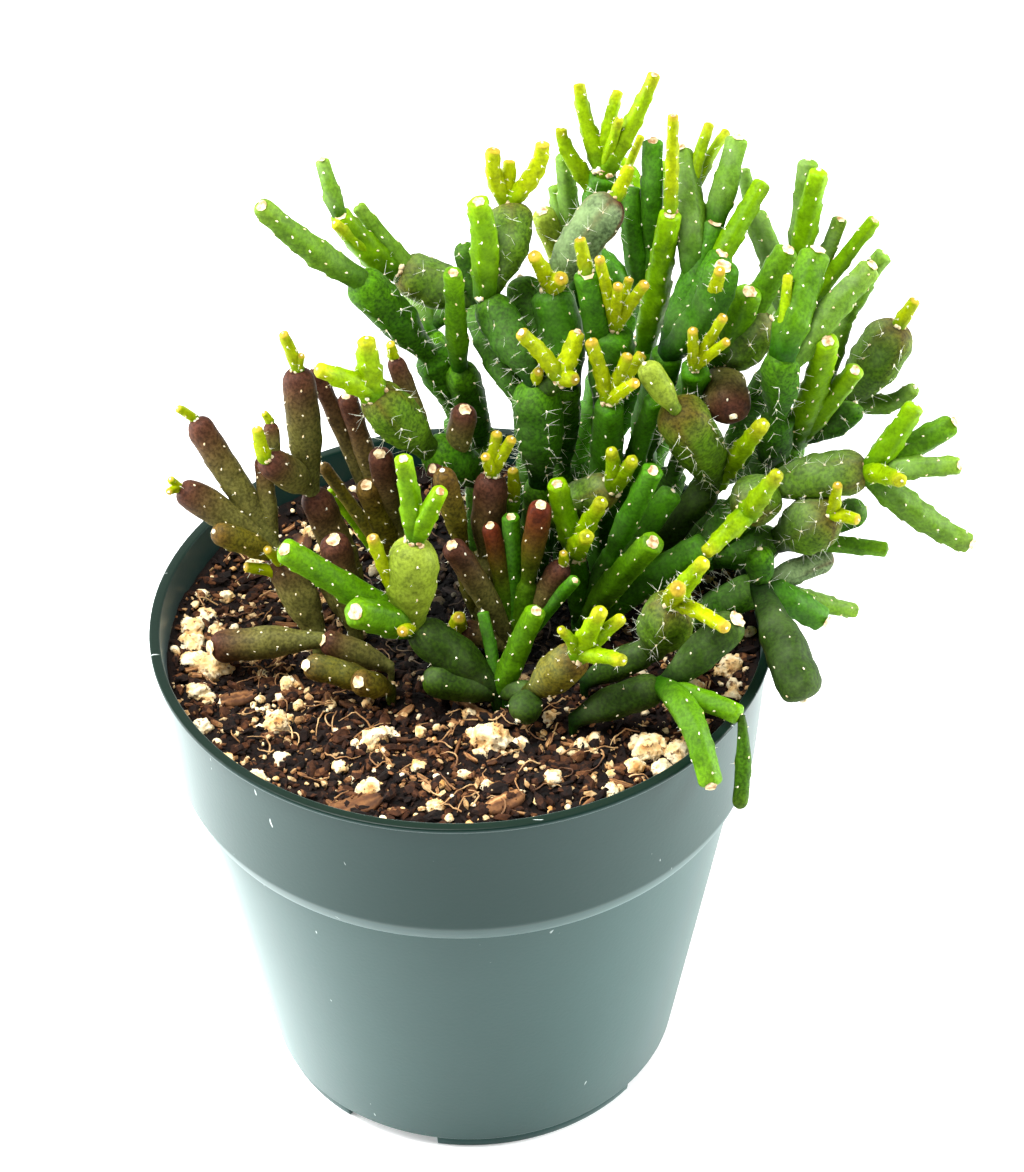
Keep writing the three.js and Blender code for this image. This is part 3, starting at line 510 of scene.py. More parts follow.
def make_perlite():
    foam = expanded_mineral()
    large = [perlite_shape(4, i * 7.3) for i in range(GRANULE_SHAPES)]
    bm = bmesh.new()
    for i, (x, y, radius) in enumerate(PERLITE):
        z = soil_level(x, y) + GRANULE_SEAT * radius
        size = (radius, radius * 0.95, radius * 0.88)
        set_down(bm, large[i % GRANULE_SHAPES], lie(x, y, z, size))
        if radius > LARGE_GRANULE:
            for _ in range(2):
                turn, small = draw.uniform(0, math.tau), radius * draw.uniform(0.35, 0.55)
                aside = (x + radius * math.cos(turn), y + radius * math.sin(turn))
                chip = large[i % (GRANULE_SHAPES - 1)]
                set_down(bm, chip, lie(*aside, z - 0.2 * radius, (small, small, small)))
    hand_over("perlite_granules", bm, [foam], "soil")
    small = [perlite_shape(2, i * 5.1 + 2) for i in range(GRANULE_SHAPES)]
    bm = bmesh.new()
    for _ in range(SMALL_PERLITE):
        x, y = place_in_pot(CRUMB_REACH)
        radius = min(GRIT_LEAST + draw.expovariate(3.6), GRIT_MOST)
        z = soil_top(x, y) + 0.3 + radius * GRANULE_SEAT
        place = lie(x, y, z, (radius * 1.25, radius, radius * 0.85))
        set_down(bm, draw.choice(small), place)
    hand_over("perlite_grit", bm, [foam], "soil")


make_perlite()


# Bark: chips split along the grain, half sunk in the peat. The large ones are listed, right
# and back from the axis, with length, width and turn in degrees. The small ones are strewn.
SMALL_BARK = 140
LONG_CHIP = 5.5
CHIP_THICKNESS = 1.5
SMALL_CHIP_THICKNESS = 0.7
CHIP_SEAT = 0.45
CHIP_TAPER = 0.5
CHIP_ARCH = 1.2
CHIP_RAGGED = 0.06
CHIP_RIBBED = 0.16
CHIP_DEPTH = 0.8
BARK = [
    (-17.5, -41, 9, 4, 20), (6.5, -41.5, 7, 3.5, 35), (1.5, -17, 9, 2.6, -38),
    (-37.5, -12, 6, 3, 15), (-30, 28, 10, 5, 60),
]


def bark_fibre():
    """Bark: reddish brown, streaked along the chip by its own tone."""
    material, tree, shader, place = new_material("shredded_bark", 0.8, Specular_IOR_Level=0.3)
    own = put(tree, "ShaderNodeAttribute", attribute_name="tone").outputs["Fac"]
    colour = steps_of(tree, own, (0.0, linear((40, 25, 16))), (0.4, linear((94, 60, 36))),
                      (0.75, linear((150, 104, 62))), (1.0, linear((204, 162, 110))))
    cloud = put(tree, "ShaderNodeTexNoise", {"Vector": place, "Scale": 1100, "Detail": 4})
    shade = steps_of(tree, cloud.outputs["Fac"], (0.3, 0.55), (0.65, 1.0))
    colour = blend_colours(tree, 1.0, colour, shade, "MULTIPLY")
    # Painted shade under the clump darkens the bark.
    tree.links.new(shaded_under_clump(tree, place, colour), shader.inputs["Base Color"])
    raise_from(tree, shader, cloud.outputs["Fac"], 0.2, 0.7)
    return material


def make_bark():
    """Chips split along the grain: a bar, cut finely across, ribbed, and ragged at its ends."""
    bm = bmesh.new()
    tones = []
    rows = [(*row, CHIP_THICKNESS) for row in BARK]
    for _ in range(SMALL_BARK):
        x, y = place_in_pot(CRUMB_REACH - 2)
        long = draw.uniform(1.6, 5)
        wide, turn = draw.uniform(0.5, 1.5), draw.uniform(0, 360)
        rows.append((x, y, long, wide, turn, SMALL_CHIP_THICKNESS))
    for x, y, long, wide, turn, thick in rows:
        chip = bmesh.new()
        cuts = 14 if long > LONG_CHIP else 6
        bmesh.ops.create_grid(chip, x_segments=cuts, y_segments=7, size=0.5)
        for vert in chip.verts:
            end = abs(vert.co.x) > 0.49
            vert.co.x += draw.uniform(-CHIP_RAGGED, CHIP_RAGGED) if end else 0
            vert.co.y *= 1 - CHIP_TAPER * abs(2 * vert.co.x) ** 3
            rib = draw.uniform(-CHIP_RIBBED, CHIP_RIBBED)
            vert.co.z = 0.5 - CHIP_ARCH * vert.co.y ** 2 + rib
        made = bmesh.ops.extrude_face_region(chip, geom=chip.faces[:])
        under = [v for v in made["geom"] if isinstance(v, bmesh.types.BMVert)]
        bmesh.ops.translate(chip, verts=under, vec=(0, 0, -CHIP_DEPTH))
        bmesh.ops.recalc_face_normals(chip, faces=chip.faces)
        place = Matrix.Translation((x, y, soil_top(x, y) + CHIP_SEAT))
        place @= Matrix.Rotation(math.radians(turn), 4, "Z")
        place @= Matrix.Rotation(draw.gauss(0, 0.15), 4, "Y")
        place @= Matrix.Diagonal((long, wide, thick, 1))
        lift = draw.uniform(0.1, 0.6)
        for vert in chip.verts:
            streak = noise.noise((vert.co.x * 0.8, vert.co.y * 9 + x, y))
            tones.append(min(max(lift + 0.55 * streak + 0.2, 0), 1))
        shape = shape_of(chip)
        set_down(bm, shape, place)
        bpy.data.meshes.remove(shape)
    piece = hand_over("bark_chips", bm, [bark_fibre()], "soil")
    give_tones(piece, tones, 1)


make_bark()


# Coir and root hairs: thin curled strands that lie over the crumbs, each a fine tapering curve that
# wanders a few millimetres and turns back before it meets the wall.
FIBRE_COUNT = 260
FIBRE_RADIUS = 0.16
FIBRE_STEPS = 8
FIBRE_ARCH = 0.6
FIBRE_CURL = 0.22
TURN_BACK = 1.6


def make_fibres():
    lines = bpy.data.curves.new("soil_fibres", "CURVE")
    lines.dimensions = "3D"
    lines.bevel_depth = FIBRE_RADIUS * MM
    lines.bevel_resolution = 0
    lines.use_fill_caps = True
    for _ in range(FIBRE_COUNT):
        x, y = place_in_pot(CRUMB_REACH - 3)
        turn, curl = draw.uniform(0, math.tau), draw.gauss(0, FIBRE_CURL)
        step = draw.uniform(0.35, 0.9)
        lift = draw.uniform(0.5, 1.3)
        strand = lines.splines.new("POLY")
        strand.points.add(FIBRE_STEPS)
        for i, point in enumerate(strand.points):
            arch = lift + FIBRE_ARCH * math.sin(i * math.pi / FIBRE_STEPS)
            at = FROM_POT @ Vector((x, y, soil_top(x, y) + arch))
            point.co = (*at, 1)
            point.radius = 1.1 - 0.08 * i
            away = math.hypot(x + step * math.cos(turn), y + step * math.sin(turn))
            if away < CRUMB_REACH - 1:
                x, y = x + step * math.cos(turn), y + step * math.sin(turn)
            else:
                turn += TURN_BACK
            turn += curl
    material, tree, shader, place = new_material("coir_strand", 0.75)
    cloud = put(tree, "ShaderNodeTexNoise", {"Vector": place, "Scale": 160, "Detail": 3})
    colour = steps_of(tree, cloud.outputs["Fac"], (0.35, linear((80, 50, 30))),
                      (0.5, linear((146, 104, 62))), (0.66, linear((208, 172, 120))))
    # Painted shade under the clump darkens the strands.
    tree.links.new(shaded_under_clump(tree, place, colour), shader.inputs["Base Color"])
    lines.materials.append(material)
    piece = bpy.data.objects.new("soil_fibres", lines)
    bpy.context.scene.collection.objects.link(piece)
    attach(piece, "root")


make_fibres()


# The plant: smooth jointed stems, each bone grown from the one below on a slim neck, with areoles
# along its five low ribs. Each stem is one living piece from its root, with its buds and bristles.
ROOT = "root"
ROOT_LIFT = 2.2
LONGEST_BONE = 30
SLIMMEST_LONG_BONE = 3.8
PATH_PULL = 0.15
PATH_MIDDLE = 0.42
RING_STEP = 0.62
DOME_RINGS = 7
RIBS = 5
RIB_STEP = math.tau * 2 / RIBS
FEWEST_AREOLES = 3
FIRST_AREOLE = 0.1
AREOLE_SPAN = 0.85
AREOLE_SEAT = 0.985
AREOLE_OUT = 0.88
AREOLE_UP = 0.47
ROOT_DEPTH = 2
SEAT_LIMIT = 0.6
TAPER_SWELL = 0.4
END_SHARPNESS = 2.5
TAPERED_END = 0.35
CUT_END = 0.8
LONGEST_END = 0.45
WAIST = 0.12
KNOB_LEAST = 0.12
KNOB_SPREAD = 0.15
KNOB_LENGTH = 0.6
KNOB_AHEAD = 0.5
KNOB_DIP = 0.6
DIP_LENGTH = 0.25
SEAT_RINGS = 3
SKIN_LUMPS = 0.1
WOOL, BRISTLE, CORK = 1, 2, 3
DRIED = (74, 34, 24)
# The grey of the sheen painted on skin that faces the light.
SHEEN_GREY = (152, 178, 122)
FLECK_DARK = (0.44, 0.42, 0.42, 1)
FLECK_LIGHT = (1.65, 1.6, 1.5, 1)
MOTTLING = 0.75
HAIR_WIDTH = 0.066
AREOLE_SHAPES = 6
SCAR_SHAPES = 4
SCAR_RIM = 0.25
SCAR_RISE = 0.22
SCAR_HOLLOW = 0.1
SCAR_SHARE = 0.46
SCAR_TAPER = 0.4
TUFT_LEAST = 0.35
TUFT_SHARE = 0.12
BUD_TUFT_SHARE = 0.05
CRUST_SHAPES = 6
CRUST_RADIUS = 0.9
CRUSTS_ROUND_NECK = 7
CUT_LEAN = Vector((0, -0.55, 0.5))
CUT_HEIGHT = 0.85
CUT_RISE = 0.55
# The way towards the light above: skin turned this way gets a painted grey sheen.
TOWARD_LIGHT = np.array((-0.45, -0.35, 0.82))


def look(neck, body, tip, grain, areole, spacing, facets=0.3, slim=0.5, knob=0.1,
         tip_share=0.25, edge=0, taper=0.0, painted_sheen=0.0):
    """A bone's colours from neck to tip, mottling, areoles, ridges, knobs, taper and painted sheen.
    """
    return dict(neck=neck, body=body, tip=tip, grain=grain, areole=areole, spacing=spacing,
                facets=facets, slim=slim, knob=knob, tip_share=tip_share, edge=edge, taper=taper,
                painted_sheen=painted_sheen)


MAROON = look((94, 96, 50), (92, 90, 46), (74, 46, 36), 0.8, "dotted", 17, 0.2, 0.5, 0.06, 0.5)
RED = look((58, 84, 14), (62, 98, 14), (88, 40, 24), 0.6, "dotted", 16, 0.2, 0.6, 0.06, 0.6)
OLIVE = look((46, 72, 10), (72, 103, 18), (82, 92, 28), 1, "bristly", 17, 0.3, edge=0.5, painted_sheen=0.25)
AGED = look((58, 66, 16), (94, 88, 26), (88, 68, 30), 1, "dotted", 15, 0.3, painted_sheen=0.15)
GREY = look((74, 96, 36), (88, 110, 72), (94, 110, 78), 1, "bristly", 18, 0.3, edge=1,
            painted_sheen=0.5)
DARK = look((22, 50, 0), (46, 86, 0), (62, 104, 2), 1, "hairy", 15, 0.5, 0.5, 0.1, painted_sheen=0.12)
# A dark green for the low bones under the clump: partly their own colour, partly painted shade.
DUSK_SHADED = look((18, 40, 2), (38, 60, 2), (46, 68, 6), 1, "dotted", 34, 0.5, 0.5, 0.05, painted_sheen=0.1)
# A dark green for the darker bones within the clump: partly their own colour, partly painted shade.
DEEP_SHADED = look((24, 60, 0), (52, 100, 0), (62, 114, 0), 0.6, "dotted", 22, 0.6, 0.7, 0.12, taper=0.1,
            painted_sheen=0.1)
FRESH = look((38, 80, 0), (74, 118, 0), (92, 138, 0), 0.5, "dotted", 18, 0.7, 0.75, 0.14,
             taper=0.15, painted_sheen=0.03)
GREEN = look((46, 88, 8), (82, 120, 26), (98, 136, 34), 0.45, "dotted", 20, 0.7, 0.75, 0.14,
             taper=0.15, painted_sheen=0.28)
BRIGHT = look((58, 102, 0), (99, 142, 0), (122, 164, 2), 0.3, "dotted", 14, 0.7, 0.8, 0.16,
              taper=0.2)
LIGHT = look((58, 94, 12), (82, 118, 24), (102, 136, 36), 0.5, "dotted", 14, 0.8, 0.85, 0.16,
             taper=0.25, painted_sheen=0.25)
PALE = look((84, 108, 26), (120, 140, 42), (130, 148, 52), 0.55, "dotted", 18, 0.15, 0.55, 0.05)
LIME = look((106, 142, 0), (148, 164, 2), (170, 144, 46), 0.3, "bud", 5.5, 0.5, 0.95, 0.15, 0.08,
            taper=0.18)
SPRING = look((80, 122, 0), (124, 157, 2), (150, 156, 24), 0.35, "bud", 10, 0.6, 1.1, 0.2,
              taper=0.3)
SHRIVELLED = look((44, 68, 10), (58, 94, 16), (68, 96, 22), 0.9, "dotted", 16, 0.5)


def living_skin():
    """Waxy skin: its colour runs along the bone, with light and dark flecks and a painted grey
    sheen.
    """
    material, tree, shader, place = new_material("waxy_skin", 0.42, Specular_IOR_Level=0.09,
                                                 Subsurface_Weight=0.06,
                                                 Subsurface_Scale=0.001,
                                                 Subsurface_Radius=(1.0, 1.0, 0.4))
    own = put(tree, "ShaderNodeAttribute", attribute_name="skin")
    grain = own.outputs["Alpha"]
    cloud = put(tree, "ShaderNodeTexNoise", {"Vector": place, "Scale": 420, "Detail": 5,
                                             "Roughness": 0.7})
    shade = steps_of(tree, cloud.outputs["Fac"], (0.34, 0.6), (0.5, 0.92), (0.64, 1.0))
    shaded = blend_colours(tree, 1.0, own.outputs["Color"], shade, "MULTIPLY")
    fine = put(tree, "ShaderNodeTexNoise", {"Vector": place, "Scale": 1900, "Detail": 3})
    fleck = steps_of(tree, fine.outputs["Fac"], (0.36, 0.0), (0.62, 1.0))
    dark = blend_colours(tree, 1.0, shaded, FLECK_DARK, "MULTIPLY")
    light = blend_colours(tree, 1.0, shaded, FLECK_LIGHT, "MULTIPLY")
    mottled = blend_colours(tree, fleck, dark, light)
    amount = put(tree, "ShaderNodeMath", {0: grain, 1: MOTTLING}, operation="MULTIPLY").outputs[0]
    colour = blend_colours(tree, amount, shaded, mottled)
    patch = put(tree, "ShaderNodeTexNoise", {"Vector": place, "Scale": 240, "Detail": 5})
    broken = steps_of(tree, patch.outputs["Fac"], (0.4, 0.25), (0.62, 1.0))
    # Painted sheen: grey laid over the skin in broken patches, as strong as each point's share.
    sheen_mask = put(tree, "ShaderNodeAttribute", attribute_name="painted_sheen").outputs["Fac"]
    amount = put(tree, "ShaderNodeMath", {0: broken, 1: sheen_mask}, operation="MULTIPLY").outputs[0]
    colour = blend_colours(tree, amount, colour, linear(SHEEN_GREY))
    tree.links.new(colour, shader.inputs["Base Color"])
    rough = put(tree, "ShaderNodeMapRange", {"Value": grain, "To Min": 0.4, "To Max": 0.6})
    tree.links.new(rough.outputs[0], shader.inputs["Roughness"])
    raise_from(tree, shader, fine.outputs["Fac"], 0.1, 0.45)
    return material


def plain_finish(name, roughness, dark, light, scale, **shader_values):
    """Wool, bristle or cork: two colours clouded into each other."""
    material, tree, shader, place = new_material(name, roughness, **shader_values)
    cloud = put(tree, "ShaderNodeTexNoise", {"Vector": place, "Scale": scale, "Detail": 3})
    colour = steps_of(tree, cloud.outputs["Fac"], (0.35, linear(dark)), (0.62, linear(light)))
    tree.links.new(colour, shader.inputs["Base Color"])
    raise_from(tree, shader, cloud.outputs["Fac"], 0.1, 0.5)
    return material


STEM_FINISHES = [
    living_skin(),
    plain_finish("areole_wool", 0.9, (206, 180, 130), (244, 238, 214), 1100),
    plain_finish("pale_bristle", 0.5, (200, 204, 176), (236, 240, 222), 300),
    plain_finish("corky_scar", 0.9, (150, 112, 70), (234, 216, 172), 1000),
]


def add_hair(bm, base, aim, length, width, sag):
    """A bristle: a three-sided needle that tapers and bends a little on its way."""
    turn = Vector((0, 0, 1)).rotation_difference(aim).to_matrix().to_4x4()
    start = Matrix.Translation(base) @ turn
    made = bmesh.ops.create_circle(bm, segments=3, radius=width / 2, cap_ends=True, matrix=start)
    ring = made["verts"]
    face = ring[0].link_faces[0]
    side = aim.cross(Vector((0.3, 0.5, 0.8))).normalized()
    for share, width_left in ((0.5, 0.75), (0.5, 0.3)):
        made = bmesh.ops.extrude_face_region(bm, geom=[face])
        new_verts = [v for v in made["geom"] if isinstance(v, bmesh.types.BMVert)]
        new_face = [f for f in made["geom"] if isinstance(f, bmesh.types.BMFace)][0]
        middle = sum((v.co for v in new_verts), Vector()) / 3
        for vert in new_verts:
            vert.co = middle + (vert.co - middle) * width_left + aim * length * share + side * sag
        if face.is_valid:
            bm.faces.remove(face)
        face = new_face
        sag *= 2
    return bm


def areole_shape(kind, seed):
    """An areole: a cushion of wool, with the bristles of its kind standing out of it."""
    pick = random.Random(seed)
    wool, hairs, length, spread = {
        "dotted": (0.17, pick.choice((0, 1, 1)), (0.4, 0.8), 0.8),
        "hairy": (0.17, pick.choice((2, 3, 4)), (0.9, 2.8), 1.2),
        "bristly": (0.19, pick.choice((3, 4, 5, 6)), (1.1, 3.1), 1.2),
        "bud": (0.12, pick.choice((1, 2, 2)), (0.4, 1.1), 1),
        "tuft": (0.5, 4, (0.5, 1.1), 0.9),
    }[kind]
    bm = bmesh.new()
    bmesh.ops.create_icosphere(bm, subdivisions=1 if kind != "tuft" else 2, radius=wool)
    for vert in bm.verts:
        vert.co.x *= pick.uniform(0.7, 1.1)
        vert.co.y *= pick.uniform(0.9, 1.2) if kind == "tuft" else pick.uniform(1.3, 2.1)
        vert.co.z *= pick.uniform(0.5, 0.9)
    for face in bm.faces:
        face.material_index = WOOL
    for _ in range(hairs):
        turn, lean = pick.uniform(0, math.tau), spread * pick.uniform(0.4, 1)
        aim = Vector((math.sin(lean) * math.cos(turn), math.sin(lean) * math.sin(turn),
                      math.cos(lean)))
        add_hair(bm, aim * 0.1, aim, pick.uniform(*length), HAIR_WIDTH, pick.uniform(0, 0.08))
    for face in bm.faces:
        if len(face.verts) != 3 or face.material_index != WOOL:
            face.material_index = BRISTLE
    bmesh.ops.recalc_face_normals(bm, faces=bm.faces)
    return shape_of(bm)


AREOLES = {kind: [areole_shape(kind, seed) for seed in range(AREOLE_SHAPES)]
           for kind in ("dotted", "hairy", "bristly", "bud", "tuft")}


def scar_shape(seed):
    """A callus where a bone broke off: a dished disc of pale cork with a ragged edge."""
    pick = random.Random(seed)
    bm = bmesh.new()
    made = bmesh.ops.create_circle(bm, segments=16, radius=1, cap_ends=True)
    for vert in made["verts"]:
        vert.co *= pick.uniform(0.82, 1.12)
    made = bmesh.ops.inset_region(bm, faces=bm.faces[:], thickness=SCAR_RIM, depth=SCAR_RISE)
    inner = [f for f in bm.faces if f not in made["faces"]]
    bmesh.ops.inset_region(bm, faces=inner, thickness=0.38, depth=-SCAR_HOLLOW)
    for face in bm.faces:
        face.material_index = CORK
    return shape_of(bm)


SCARS = [scar_shape(seed) for seed in range(SCAR_SHAPES)]


def crust_shape(seed):
    """A flake of dry cork or wool."""
    pick = random.Random(seed)
    bm = bmesh.new()
    bmesh.ops.create_icosphere(bm, subdivisions=1, radius=CRUST_RADIUS)
    for vert in bm.verts:
        vert.co *= pick.uniform(0.6, 1.3)
    for face in bm.faces:
        face.material_index = CORK if seed % 3 else WOOL
    return shape_of(bm)


CRUSTS = [crust_shape(seed) for seed in range(CRUST_SHAPES)]


def bone(name, older, tip, thick, look, start=1, bend=None, scar=False):
    """A bone's row: the bone it grows from, its tip, thickness, look, start, bend and scar."""
    return name, older, tip, thick, look, start, bend, scar


def bezier(ends, t):
    """Points and directions along a path with one bend."""
    a, b, c = ends
    t = np.asarray(t, dtype=float)[..., None]
    at = (1 - t) ** 2 * a + 2 * t * (1 - t) * b + t * t * c
    way = 2 * (1 - t) * (b - a) + 2 * t * (c - b)
    return at, way / np.linalg.norm(way, axis=-1, keepdims=True)


def smoothstep(x, low, high):
    """A soft rise from 0 to 1 between two values."""
    t = np.clip((np.asarray(x, dtype=float) - low) / (high - low), 0, 1)
    return t * t * (3 - 2 * t)


def fullness(along, joints, slim, taper):
    """Share of a bone's full radius along its length, without its rounded end."""
    t = np.minimum(along * joints, joints - 1e-6) % 1
    rise = slim + (1 - slim) * smoothstep(t, 0, 0.35 if taper else 0.55)
    waist = 1 - WAIST * smoothstep(t, 0.75, 1)
    last = along * joints >= joints - 1
    return rise * np.where(last, 1 - taper * smoothstep(t, 0.3, 0.95), waist)


def across(ways):
    """For each direction along a path, the two directions across it, without any twist."""
    first = np.cross(ways[0], (0, 0, 1) if abs(ways[0][2]) < 0.9 else (0, 1, 0))
    sides = [first / np.linalg.norm(first)]
    for way in ways[1:]:
        side = sides[-1] - way * np.dot(sides[-1], way)
        sides.append(side / np.linalg.norm(side))
    sides = np.array(sides)
    return sides, np.cross(ways, sides)


class Bone:
    """One bone: its path from inside the older one, its form, and the places on its skin."""

    def __init__(self, row, older, root, pick):
        self.name, _, tip, self.thick, self.look, start, bend, self.scar = row
        tip = np.array(tip, dtype=float)
        if older:
            (begin,), (lead,) = bezier(older.path, [start])
        else:
            x, y = root
            level = SOIL_MIDDLE - SOIL_FALL_BACK * y - SOIL_FALL_SIDE * abs(x)
            begin, lead = np.array((x, y, level + ROOT_LIFT)), np.array((0, 0, 1.0))
        self.length = np.linalg.norm(tip - begin)
        turn = (tip - begin) / self.length * (1 - PATH_PULL) + lead * PATH_PULL
        turn /= np.linalg.norm(turn)
        middle = np.array(bend, dtype=float) if bend else begin + turn * self.length * PATH_MIDDLE
        self.path = (begin, middle, tip)
        self.radius = self.thick / 2 * (1 + TAPER_SWELL * self.look["taper"])
        depth = self.thick + ROOT_DEPTH
        self.seat = begin - lead * depth
        if older:
            depth = min(self.thick, older.length * SEAT_LIMIT)
            (self.seat,), _ = bezier(older.path, [max(0, start - depth / older.length)])
        long = self.thick > SLIMMEST_LONG_BONE and self.length > LONGEST_BONE
        self.joints = 2 if long else 1
        self.seed = pick.uniform(0, 90)
        self.pick = pick
        self.twist = pick.uniform(0, math.tau)
        self.areoles = self.place_areoles()

    def place_areoles(self):
        """Share of the length and turn of each areole, two ribs on from the one below."""
        area = math.pi * self.thick * self.length
        count = max(FEWEST_AREOLES, round(area / self.look["spacing"]))
        rows = []
        for i in range(count):
            t = FIRST_AREOLE + AREOLE_SPAN * (i + self.pick.uniform(0.3, 0.7)) / count
            rows.append((t, self.twist + i * RIB_STEP + self.pick.gauss(0, 0.1)))
        return rows

    def dome(self):
        """Share of the length over which the end rounds off: short on a cut or tapered bone."""
        blunt = TAPERED_END if self.look["taper"] else CUT_END if self.scar else 1.0
        return min(self.radius * blunt, self.length * LONGEST_END) / self.length

    def reach(self, t, turn):
        """Distance of the skin from the path, with ridges, swellings and the rounded end."""
        dome = self.dome()
        x = np.clip((t - (1 - dome)) / dome, 0, 1)
        end = (1 - x ** END_SHARPNESS) ** (1 / END_SHARPNESS)
        rib = math.pi / RIBS
        off_ridge = np.abs((turn - self.twist + rib) % (2 * rib) - rib)
        corner = np.cos(rib) / np.cos(rib - np.sqrt(off_ridge ** 2 + 0.01))
        flats = 1 + self.look["facets"] * (corner - 1)
        knobs = 0
        for place, angle in self.areoles:
            gap = (np.angle(np.exp(1j * (turn - angle)))) * self.radius
            back = (t - place) * self.length
            aside = gap ** 2 / (KNOB_SPREAD * self.radius ** 2 + KNOB_LEAST)
            below = (back + KNOB_AHEAD) ** 2 / KNOB_LENGTH
            above = (back - KNOB_AHEAD) ** 2 / DIP_LENGTH
            knobs = knobs + np.exp(-(aside + below)) - KNOB_DIP * np.exp(-(aside + above))
        knobs = 1 + self.look["knob"] * knobs * (1 - x) * min(2 / self.radius, 1)
        body = fullness(t, self.joints, self.look["slim"], self.look["taper"])
        return self.radius * body * end * flats * knobs

    def shape(self):
        """The skin: a sphere of many rings drawn out along the path."""
        sides = RIBS * (3 if self.thick < 3 else 4 if self.thick < 6 else 5)
        body = max(5, round(self.length / RING_STEP))
        dome = self.dome()
        inside = np.linspace(-1, 0, SEAT_RINGS + 1)[:-1]
        straight = np.linspace(0, 1 - dome, body)
        rounded_end = 1 - dome + dome * np.sin(np.linspace(0, math.pi / 2, DOME_RINGS + 1)[1:])
        stops = np.concatenate([inside, straight, rounded_end])
        bm = bmesh.new()
        bmesh.ops.create_uvsphere(bm, u_segments=sides, v_segments=len(stops) - 1, radius=1)
        co = np.array([v.co for v in bm.verts])
        ring = np.rint(np.arccos(np.clip(-co[:, 2], -1, 1)) / math.pi * (len(stops) - 1))
        ring = ring.astype(int)
        turn = np.arctan2(co[:, 1], co[:, 0])
        at, way = bezier(self.path, np.maximum(stops, 0))
        inward = (stops < 0)[:, None]
        begin = self.path[0]
        at = np.where(inward, begin + (self.seat - begin) * -stops[:, None], at)
        side, other = across(way)
        t = np.maximum(stops, 0)[ring]
        reach = self.reach(t, turn)
        shrink = np.where(stops < 0, np.sqrt(np.maximum(1 - stops ** 2, 0)), 1)[ring]
        reach = np.where(ring == 0, 0, reach * shrink)
        reach = np.where(ring == len(stops) - 1, 0, reach)
        rough = np.array([noise.noise(Vector(at[r]) * 0.3 + Vector((self.seed, a, 0)))
                          for r, a in zip(ring, np.cos(turn))])
        reach = reach * (1 + SKIN_LUMPS * rough)
        out = np.cos(turn)[:, None] * side[ring] + np.sin(turn)[:, None] * other[ring]
        co = at[ring] + out * reach[:, None]
        for vert, place in zip(bm.verts, co):
            vert.co = place
        self.colour(bm, t, turn, out @ TOWARD_LIGHT)
        return shape_of(bm)

    def colour(self, bm, t, turn, toward_light):
        """The skin's colour at each point, how mottled it is, and the painted sheen where it faces
        the light.
        """
        own = self.look
        neck, body, tip = (np.array(linear(own[key])[:3]) for key in ("neck", "body", "tip"))
        up = smoothstep(t, 0, 0.4)[:, None]
        end = smoothstep(t, 1 - own["tip_share"], 1)[:, None]
        mixed = neck + (body - neck) * up
        mixed = mixed + (tip - mixed) * end
        if own["edge"]:
            rib = np.maximum(np.cos(RIBS * (turn - self.twist)), 0) ** 3
            dried = rib * smoothstep(t, 0.35, 0.95) + smoothstep(t, 0.93, 1)
            dried = own["edge"] * np.minimum(dried, 1)[:, None]
            mixed = mixed + (np.array(linear(DRIED)[:3]) - mixed) * dried
        mixed *= self.pick.uniform(0.88, 1.12)
        # Painted sheen: grey laid on the skin where it faces the light.
        painted_sheen = own["painted_sheen"] * smoothstep(toward_light, 0.1, 0.95) * smoothstep(t, 0, 0.3)
        layer = bm.verts.layers.float_color.new("skin")
        sheen_mask = bm.verts.layers.float.new("painted_sheen")
        for vert, (r, g, b), sheen_here in zip(bm.verts, mixed, painted_sheen):
            vert[layer] = (r, g, b, own["grain"])
            vert[sheen_mask] = sheen_here

    def place_on_skin(self, t, turn, size=1.0):
        """The place of an areole, its back to the skin and its length along the bone."""
        ats, ways = bezier(self.path, np.linspace(0, t, 12))
        side, other = across(ways)
        out = math.cos(turn) * side[-1] + math.sin(turn) * other[-1]
        reach = float(self.reach(np.array([t]), np.array([turn]))[0])
        foot = ats[-1] + out * reach * AREOLE_SEAT
        up = out * AREOLE_OUT + ways[-1] * AREOLE_UP if t < 1 else ways[-1]
        up = Vector(up).normalized()
        wide = Vector(ways[-1] if t < 1 else out).cross(up).normalized()
        turned = Matrix((wide, up.cross(wide), up)).transposed().to_4x4()
        spin = Matrix.Rotation(self.pick.uniform(-0.6, 0.6), 4, "Z")
        return Matrix.Translation(foot) @ turned @ spin @ Matrix.Scale(size, 4)


def add_crust(bm, made):
    """Dry cork and wool round the neck of a young bone, where it broke out of the old one."""
    for _ in range(CRUSTS_ROUND_NECK):
        turn, size = made.pick.uniform(0, math.tau), made.pick.uniform(0.2, 0.4)
        place = made.place_on_skin(made.pick.uniform(0.01, 0.05), turn, size * min(made.radius, 2))
        set_down(bm, made.pick.choice(CRUSTS), place)


